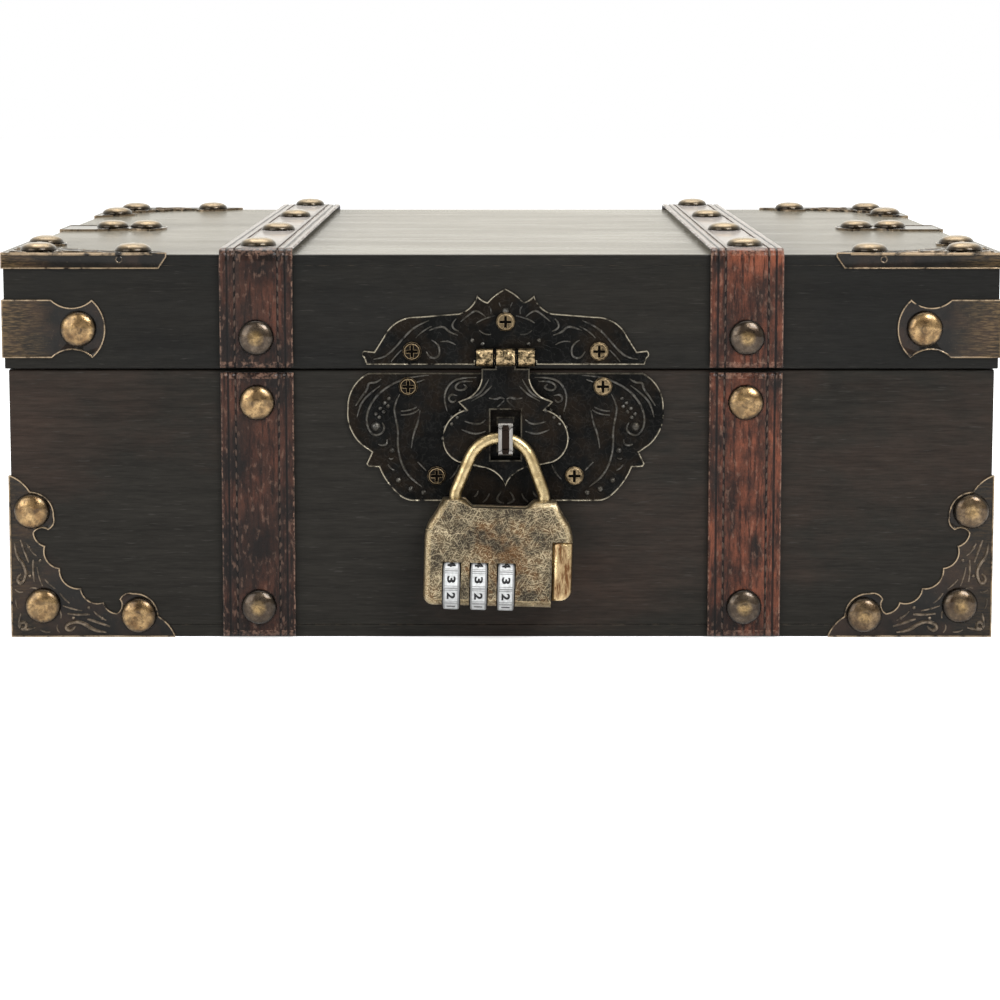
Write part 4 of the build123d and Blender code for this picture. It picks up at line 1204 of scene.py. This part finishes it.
hasp = {
    "rim": 0.27 * mm, "step": 0.14 * mm, "drop": 0.22 * mm, "sharp": 35, "front": 0.06 * mm,
    "knuckleTop": 8.6 * mm, "knuckleLow": 1.0 * mm, "knuckleGap": 0.4 * mm, "proud": 0.3 * mm,
    "stapleFrame": 0.95 * mm, "stapleSunk": 0.8 * mm, "stapleEdge": 0.3 * mm, "pinEdge": 0.2 * mm,
    "slotHalf": 5.0 * mm, "slotTop": -9.8 * mm, "slotBottom": -25.0 * mm, "slotWorn": 0.2,
    "atSeam": 1.6 * mm, "behind": 0.9, "worn": 0.7,
}
haspPieces = {"hasp_upper_plate": "lid", "hasp_lower_plate": "base", "hasp_flap": "hasp"}
haspStrokes = {
    "hasp_upper_plate": (
        ((20.7, 13.6), (24.4, 12.2), (27.6, 8.8), (30.7, 5.2), (33.3, 3.3), (35.7, 3.1)),
        ((20.0, 12.0), (22.8, 10.7), (24.3, 8.8)),
        ((28.1, 5.6), (29.6, 4.2), (31.0, 2.4)),
        ((20.7, 10.9), (18.7, 11.7), (16.6, 12.0), (15.2, 10.3), (12.9, 9.6)),
        ((13.3, 14.1), (14.5, 12.9), (14.2, 11.2), (12.6, 10.7)),
        ((21.5, 5.2), (20.7, 3.5), (18.7, 3.3), (17.7, 4.6), (18.1, 7.3), (20.0, 8.3)),
        ((17.6, 7.8), (15.5, 8.4), (13.5, 7.0)),
        ((12.1, 13.3), (9.7, 15.4), (7.6, 16.7), (5.4, 14.6)),
        ((7.9, 12.9), (6.1, 14.2), (2.8, 14.9)),
        ((7.1, 10.9), (5.7, 9.5), (3.9, 9.8)),
        ((4.5, 17.5), (3.7, 16.7), (4.0, 15.4)),
        ((1.8, 18.5), (1.3, 17.2)),
    ),
    "hasp_lower_plate": (
        ((20.7, -1.4), (25.5, -1.8), (29.1, -3.0), (33.1, -5.2), (36.1, -8.4), (37.6, -11.7), (37.8, -14.7),
         (36.7, -17.2), (35.2, -18.0), (33.4, -17.2), (32.7, -15.6), (33.5, -14.4)),
        ((21.9, -2.6), (24.0, -3.4), (26.2, -3.9)),
        ((33.7, -2.4), (34.9, -3.5), (37.2, -3.4), (37.4, -5.2), (39.0, -7.2), (40.7, -9.8)),
        ((33.9, -4.2), (37.6, -6.9), (39.7, -9.9), (40.3, -12.9)),
        ((28.7, -6.6), (30.4, -9.6), (29.9, -12.9), (29.1, -16.6), (29.4, -20.2), (28.7, -24.4),
         (27.3, -27.8), (25.2, -30.3), (22.8, -32.0)),
        ((23.5, -10.8), (25.1, -12.3), (28.4, -12.3)),
        ((24.1, -10.1), (26.0, -11.3), (28.4, -11.2)),
        ((23.2, -11.1), (23.8, -14.7), (25.1, -17.5), (25.6, -21.4)),
        ((32.2, -19.0), (31.9, -20.2), (33.7, -20.8), (34.6, -20.3)),
        ((30.4, -24.1), (31.3, -24.7), (31.7, -24.1)),
        ((30.2, -27.5), (31.4, -27.0), (32.0, -25.9)),
        ((12.6, -25.9), (13.4, -28.4), (15.2, -29.9)),
        ((21.6, -27.6), (22.5, -26.6), (23.9, -25.2)),
        ((7.9, -2.0), (11.6, -2.0), (14.6, -3.1), (16.3, -5.6), (16.7, -8.4), (15.8, -11.4)),
        ((8.9, -3.1), (11.6, -2.9), (13.4, -3.9), (13.7, -5.0), (12.6, -5.6), (11.0, -5.3), (10.4, -4.4),
         (11.4, -3.9)),
        ((13.1, -7.0), (14.6, -6.5), (15.5, -7.5), (15.1, -8.6), (13.9, -8.9), (13.4, -8.1)),
        ((7.5, -33.2), (7.7, -34.4), (8.6, -34.8)),
        ((4.4, -33.9), (5.0, -35.6), (6.2, -36.3)),
        ((1.2, -33.4), (2.6, -35.2), (1.8, -36.4), (0.4, -36.6)),
    ),
    "hasp_flap": (
        ((3.7, -4.0), (5.4, -5.8), (7.0, -6.9), (9.3, -8.2)),
        ((4.5, -2.2), (6.0, -5.0), (7.9, -6.9), (10.6, -7.7)),
        ((0.3, -7.6), (1.3, -6.9), (2.5, -7.8), (4.5, -7.3)),
        ((0.4, -8.0), (1.3, -9.1), (2.3, -9.7)),
        ((5.4, -13.2), (6.4, -14.4), (8.9, -14.4), (11.0, -13.7)),
        ((5.4, -16.4), (7.3, -17.2), (9.8, -16.9), (11.9, -15.9)),
    ),
}
haspBeads = {
    "hasp_lower_plate": {
        0.55: (
            (31.6, -7.8), (32.8, -9.0), (34.0, -10.5), (35.2, -12.0), (34.3, -12.9), (31.9, -9.9),
            (33.1, -11.4), (12.2, -11.1), (14.6, -12.9), (16.4, -15.6), (17.0, -18.7), (15.8, -21.7),
            (13.1, -24.1),
        ),
        0.8: ((29.1, -30.2), (25.8, -32.6), (22.2, -33.6), (30.8, -22.0)),
        1.3: ((35.2, -15.4),),
    },
    "hasp_upper_plate": {0.6: ((9.0, 8.2), (6.2, 7.2)), 0.9: ((0.0, 16.2),)},
    "hasp_flap": {0.5: ((10.8, -10.8), (13.1, -12.6), (14.6, -14.4))},
}


def frontPanel(bm):      # the faces of the largest flat front, and where it lies
    facing = [face for face in bm.faces if face.normal.y < -shared["facing"]]
    levels = {}
    for face in facing:
        level = round(middleOf(face).y / hasp["front"])
        levels[level] = levels.get(level, 0) + face.calc_area()
    best = max(levels, key=levels.get) * hasp["front"]
    return [face for face in facing if abs(middleOf(face).y - best) < hasp["front"]], best


def darkEnds(bm, knuckles):      # painted shade at both ends of each knuckle, where the knuckles meet
    setFaces(bm, knuckles, gold=1.0, edge=0.0)
    for faces in islandsOf(knuckles, lambda face: {near for edge in face.edges for near in edge.link_faces}):
        ends = [vert.co.x for face in faces for vert in face.verts]
        for end, inward in ((min(ends), 1), (max(ends), -1)):
            parts = {part for face in faces for part in (face, *face.edges, *face.verts)}
            place = (end + inward * hasp["knuckleGap"], 0, 0)
            cut = bmesh.ops.bisect_plane(
                bm, geom=list(parts), dist=0.001 * mm, plane_co=place, plane_no=(1, 0, 0)
            )
            faces = [part for part in cut["geom"] if isinstance(part, bmesh.types.BMFace)]
            atEnd = [face for face in faces if abs(middleOf(face).x - end) < hasp["knuckleGap"]]
            setFaces(bm, atEnd, deep=1.0)


def makeHasp():
    middle = spread("hasp_lower_plate")[2].x
    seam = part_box("base_front_board")[1].z
    for name, body in haspPieces.items():
        bm = nodeCopy(name, *bronzeLayers)
        setFaces(bm, [face for face in bm.faces if face.normal.y < hasp["behind"]], edge=hasp["worn"])
        front, level = frontPanel(bm)
        knuckles = [
            face for face in bm.faces
            if hasp["knuckleLow"] < middleOf(face).z - seam < hasp["knuckleTop"]
            and middleOf(face).y < level - hasp["proud"]
        ]
        darkEnds(bm, knuckles)
        rims = sunkenPanel(bm, front, hasp)
        slot = [
            face for face in rims
            if abs(middleOf(face).x - middle) < hasp["slotHalf"]
            and hasp["slotBottom"] < middleOf(face).z - seam < hasp["slotTop"]
        ]
        atSeam = [face for face in rims if abs(middleOf(face).z - seam) < hasp["atSeam"]]
        # rims by the slot and along the lid's seam are dimmed, as painted shade
        setFaces(bm, slot + atSeam, edge=hasp["slotWorn"])
        for side in (-1, 1):
            centre = Vector((middle, level + hasp["drop"], seam))
            place = leafPlace(centre, Vector((side, 0, 0)), Vector((0, 0, 1)), Vector((0, -1, 0)))
            addRidges(bm, haspStrokes[name], place)
            for size, spots in haspBeads[name].items():
                addBeads(bm, spots, place, size * mm)
        placePiece(bm, name, "dark_bronze", "haspBronze", body, sharp=hasp["sharp"])
    pin = softEdges(flatCopy("hasp_pin"), hasp["pinEdge"])
    placePiece(pin, "hasp_pin", "worn_brass", "wornBrass", "lid")
    staple = flatCopy("hasp_staple", "deep")
    face = outermost(staple, (0, -1, 0))
    width, sink = hasp["stapleFrame"], -hasp["stapleSunk"]
    bmesh.ops.inset_region(staple, faces=face, thickness=width, depth=0, use_even_offset=True)
    sunk = bmesh.ops.inset_region(staple, faces=face, thickness=width / 4, depth=sink)
    # painted shade in the staple's sunk middle
    setFaces(staple, [*face, *sunk["faces"]], deep=1.0)
    softEdges(staple, hasp["stapleEdge"])
    placePiece(staple, "hasp_staple", "polished_steel", "steel", "base")


makeHasp()
print("hasp made")


# Rear hinges

hinge = {"edge": 0.2 * mm}


def makeHinges():
    for name in frame["nodes"]:
        if not name.startswith("hinge") or name.endswith("screws"):
            continue
        slotName, finish = ("worn_brass", "wornBrass") if "pins" in name else ("dark_bronze", "bronze")
        bm = softEdges(flatCopy(name, *bronzeLayers[1:]), hinge["edge"])
        placePiece(bm, name, slotName, finish, "lid" if "lid" in name else "base")


makeHinges()
print("hinges made")


# The padlock

padlock = {
    "bodyRound": 1.8 * mm, "shoulderRound": 3.2 * mm, "shoulderTurn": (8, 40), "segments": 5,
    "windowHalf": 2.65 * mm, "windowRoom": 0.6 * mm, "windowTop": 5.7 * mm, "frame": 0.2 * mm,
    "sliderRound": 1.6 * mm, "sliderFlat": 0.6 * mm, "sliderSide": 19.4 * mm, "sliderTop": 11.7 * mm,
    "spindleEdge": 0.12 * mm, "shackleEdge": 0.25 * mm, "dialEdge": 0.28 * mm,
}


def lockPlace(point):
    away = point - dialCentres["middle"]
    return away.dot(lockRight), away.dot(lockUp)


def besideDial(right):
    return min(abs(right - lockPlace(centre)[0]) for centre in dialCentres.values())


def faceEdges(bm, direction):
    level = max(vert.co.dot(direction) for vert in bm.verts)
    return [
        edge for edge in sharpEdges(bm, 20)
        if all(level - vert.co.dot(direction) < shared["level"] for vert in edge.verts)
    ]


def outlineEdges(bm, direction):      # without the dials' windows and the step for the slider
    bottom = min(lockPlace(vert.co)[1] for vert in bm.verts)
    chosen = []
    for edge in faceEdges(bm, direction):
        right, up = lockPlace((edge.verts[0].co + edge.verts[1].co) / 2)
        atWindow = besideDial(right) < padlock["windowHalf"] and up - bottom > padlock["windowRoom"]
        atSlider = right > padlock["sliderSide"] and up < padlock["sliderTop"]
        if not atWindow and not atSlider:
            chosen.append(edge)
    return chosen


# painted shade on the walls of the dials' windows
def darkenWindows(bm):
    walls = [
        face for face in bm.faces
        if besideDial(lockPlace(middleOf(face))[0]) < padlock["windowHalf"]
        and abs(face.normal.dot(lockFront)) < 0.5 and abs(lockPlace(middleOf(face))[1]) < padlock["windowTop"]
    ]
    setFaces(bm, walls, deep=1.0)


def roundShoulders(bm):      # the slight corners down the body's sides become one curve
    low, high = (math.radians(turn) for turn in padlock["shoulderTurn"])
    corners = []
    for edge in bm.edges:
        run = (edge.verts[1].co - edge.verts[0].co).normalized()
        slight = len(edge.link_faces) == 2 and low < edge.calc_face_angle(0) < high
        through = abs(run.dot(lockFront)) > shared["facing"] and edge.calc_length() > padlock["bodyRound"]
        if slight and through:
            corners.append(edge)
    softEdges(bm, padlock["shoulderRound"], segments=padlock["segments"], chosen=corners)
    setFaces(bm, bm.faces, edge=0.0)


def makePadlock():
    for name, direction in (("padlock_front_shell", lockFront), ("padlock_back_shell", -lockFront)):
        bm = flatCopy(name, "deep")
        roundShoulders(bm)
        darkenWindows(bm)
        outline = outlineEdges(bm, direction)
        softEdges(bm, padlock["bodyRound"], segments=padlock["segments"], chosen=outline, clamp=False)
        frames = [
            edge for edge in faceEdges(bm, direction)
            if besideDial(lockPlace(edge.verts[0].co)[0]) < padlock["windowHalf"]
        ]
        softEdges(bm, padlock["frame"], chosen=frames)
        placePiece(bm, name, "antique_brass", "lockBody", "lock_body")
    bm = flatCopy("padlock_release_slider", "deep")
    inner = min(lockPlace(vert.co)[0] for vert in bm.verts)
    for direction in (lockFront, -lockFront):
        outer = [
            edge for edge in faceEdges(bm, direction)
            if max(lockPlace(vert.co)[0] for vert in edge.verts) > inner + padlock["sliderFlat"]
        ]
        softEdges(bm, padlock["sliderRound"], segments=padlock["segments"], chosen=outer, clamp=False)
    setFaces(bm, bm.faces, edge=0.0)
    placePiece(bm, "padlock_release_slider", "antique_brass", "release", "release")
    parts = (
        ("padlock_shackle", "shackle", "padlock_wire", "wire", "shackleEdge"),
        ("padlock_spindle", "release", "spindle_steel", "spindle", "spindleEdge"),
        *((f"padlock_dial_{side}", f"dial_{side}", "white_dial", "dial", "dialEdge") for side in dialSides),
    )
    for name, body, slotName, finish, width in parts:
        bm = softEdges(flatCopy(name, "deep"), padlock[width], 30, 3)
        placePiece(bm, name, slotName, finish, body)


makePadlock()

digit = {
    "size": 2.95 * mm, "wider": 1.4, "bold": 0.11 * mm, "depth": 0.05 * mm,
    "apothem": 7.6 * math.cos(math.pi / 10) * mm, "pitch": 36, "twoAt": -25.8,
    "lineWidth": 0.1 * mm, "lineLength": 3.5 * mm, "lineAt": 1.75 * mm,
}


def digitMesh(text):
    curve = bpy.data.curves.new("digit", "FONT")
    curve.body = text
    curve.size = digit["size"]
    curve.extrude = digit["depth"] / 2
    curve.offset = digit["bold"]
    curve.align_x = "CENTER"
    curve.resolution_u = 3
    mesh = meshOf(curve)
    bpy.data.curves.remove(curve)
    xs = [vert.co.x for vert in mesh.vertices]
    ys = [vert.co.y for vert in mesh.vertices]
    mesh.transform(Matrix.Translation((-(min(xs) + max(xs)) / 2, -(min(ys) + max(ys)) / 2, 0)))
    mesh.transform(Matrix.Diagonal((digit["wider"], 1, 1, 1)))
    return mesh


def lineMesh(offset):
    bm = bmesh.new()
    bmesh.ops.create_cube(bm, size=1)
    size = Matrix.Diagonal((digit["lineWidth"], digit["lineLength"], digit["depth"], 1))
    bmesh.ops.transform(bm, matrix=Matrix.Translation((offset, 0, 0)) @ size, verts=bm.verts)
    return meshFrom(bm)


def makeDigits():
    for side, centre in dialCentres.items():
        bm = bmesh.new()
        for value in range(10):
            angle = math.radians(digit["twoAt"] + digit["pitch"] * (value - 2))
            normal = lockFront * math.cos(angle) + lockUp * math.sin(angle)
            down = lockFront * math.sin(angle) - lockUp * math.cos(angle)
            face = centre + normal * digit["apothem"]
            place = leafPlace(face, down, lockRight, normal)      # figures lie on their side
            addMesh(bm, digitMesh(str(value)), place)
            for offset in (-digit["lineAt"], digit["lineAt"]):
                addMesh(bm, lineMesh(offset), place)
        bmesh.ops.remove_doubles(bm, verts=bm.verts, dist=0.001 * mm)
        placePiece(bm, f"dial_numbers_{side}", "white_dial", "ink", f"dial_{side}")


makeDigits()
print("padlock made")


# Studio and camera

studio = {
    "floor": 4.0, "floorColour": (0.78, 0.78, 0.78, 1), "floorLift": 0.62, "floorMirrored": 0.5,
    "ambient": 0.55, "mirrored": (-0.7, 0.2, 0.32, 1.0), "mirroredTint": (1.0, 0.975, 0.90),
    "aim": (0, 0, 0.05),
    "lamps": (      # name, place, size, watts
        ("keyLamp", (0.85, -1.2, 1.3), 0.8, 30.0),
        ("fillLamp", (-1.1, -1.2, 0.7), 1.2, 13.0),
        ("topLamp", (0.0, 0.3, 1.6), 1.4, 14.0),
    ),
}


def makeWorld():
    world = bpy.data.worlds.new("paleStudio")
    scene.world = world
    world.use_nodes = True
    tree = world.node_tree
    tree.nodes.clear()
    heading = tree.nodes.new("ShaderNodeTexCoord").outputs["Object"]
    mirrored = ranged(parted(heading)[1], *studio["mirrored"])
    path = tree.nodes.new("ShaderNodeLightPath").outputs
    level = ranged(path["Is Glossy Ray"], 0.0, 1.0, studio["ambient"], mirrored)
    strength = larger(level, larger(path["Is Camera Ray"], path["Is Transmission Ray"]))
    tint = mixed(path["Is Glossy Ray"], (1.0, 1.0, 1.0), studio["mirroredTint"])
    background = addNode(tree, "ShaderNodeBackground", {"Color": tint, "Strength": strength})
    output = tree.nodes.new("ShaderNodeOutputWorld")
    tree.links.new(background.outputs[0], output.inputs[0])


def makeFloor():
    bm = bmesh.new()
    bmesh.ops.create_grid(bm, x_segments=2, y_segments=2, size=studio["floor"])
    floor = addObject("floor", meshFrom(bm, "floor"))
    finish, shader, vector = newFinish("paleFloor")
    path = addNode(vector.id_data, "ShaderNodeLightPath").outputs
    seen = larger(path["Is Camera Ray"], times(path["Is Glossy Ray"], studio["floorMirrored"]))
    putIn(shader.inputs["Emission Strength"], times(seen, studio["floorLift"]))
    finishUp(shader, studio["floorColour"], 0.9, Specular_IOR_Level=0.0, Emission_Color=(1, 1, 1, 1))
    floor.data.materials.append(finish)


def makeLamps():
    for name, place, size, power in studio["lamps"]:
        lamp = bpy.data.lights.new(name, "AREA")
        lamp.shape = "SQUARE"
        lamp.size = size
        lamp.energy = power
        holder = addObject(name, lamp)
        holder.location = place
        holder.rotation_euler = (Vector(studio["aim"]) - Vector(place)).to_track_quat("-Z", "Y").to_euler()


view = {
    "place": (-0.0004, -0.7676, 0.1581), "tilt": 6.04, "near": 0.01,
    "lens": 89.4, "sensor": 36, "shift": -0.18,
}


def makeCamera():
    lens = bpy.data.cameras.new("camera")
    lens.sensor_width = view["sensor"]
    lens.lens = view["lens"]
    lens.shift_y = view["shift"]
    lens.clip_start = view["near"]
    scene.camera = addObject("camera", lens)
    scene.camera.location = view["place"]
    scene.camera.rotation_euler = (math.radians(90 - view["tilt"]), 0, 0)


makeWorld()
makeFloor()
makeLamps()
makeCamera()
print("studio and camera made")

bpy.context.view_layer.update()
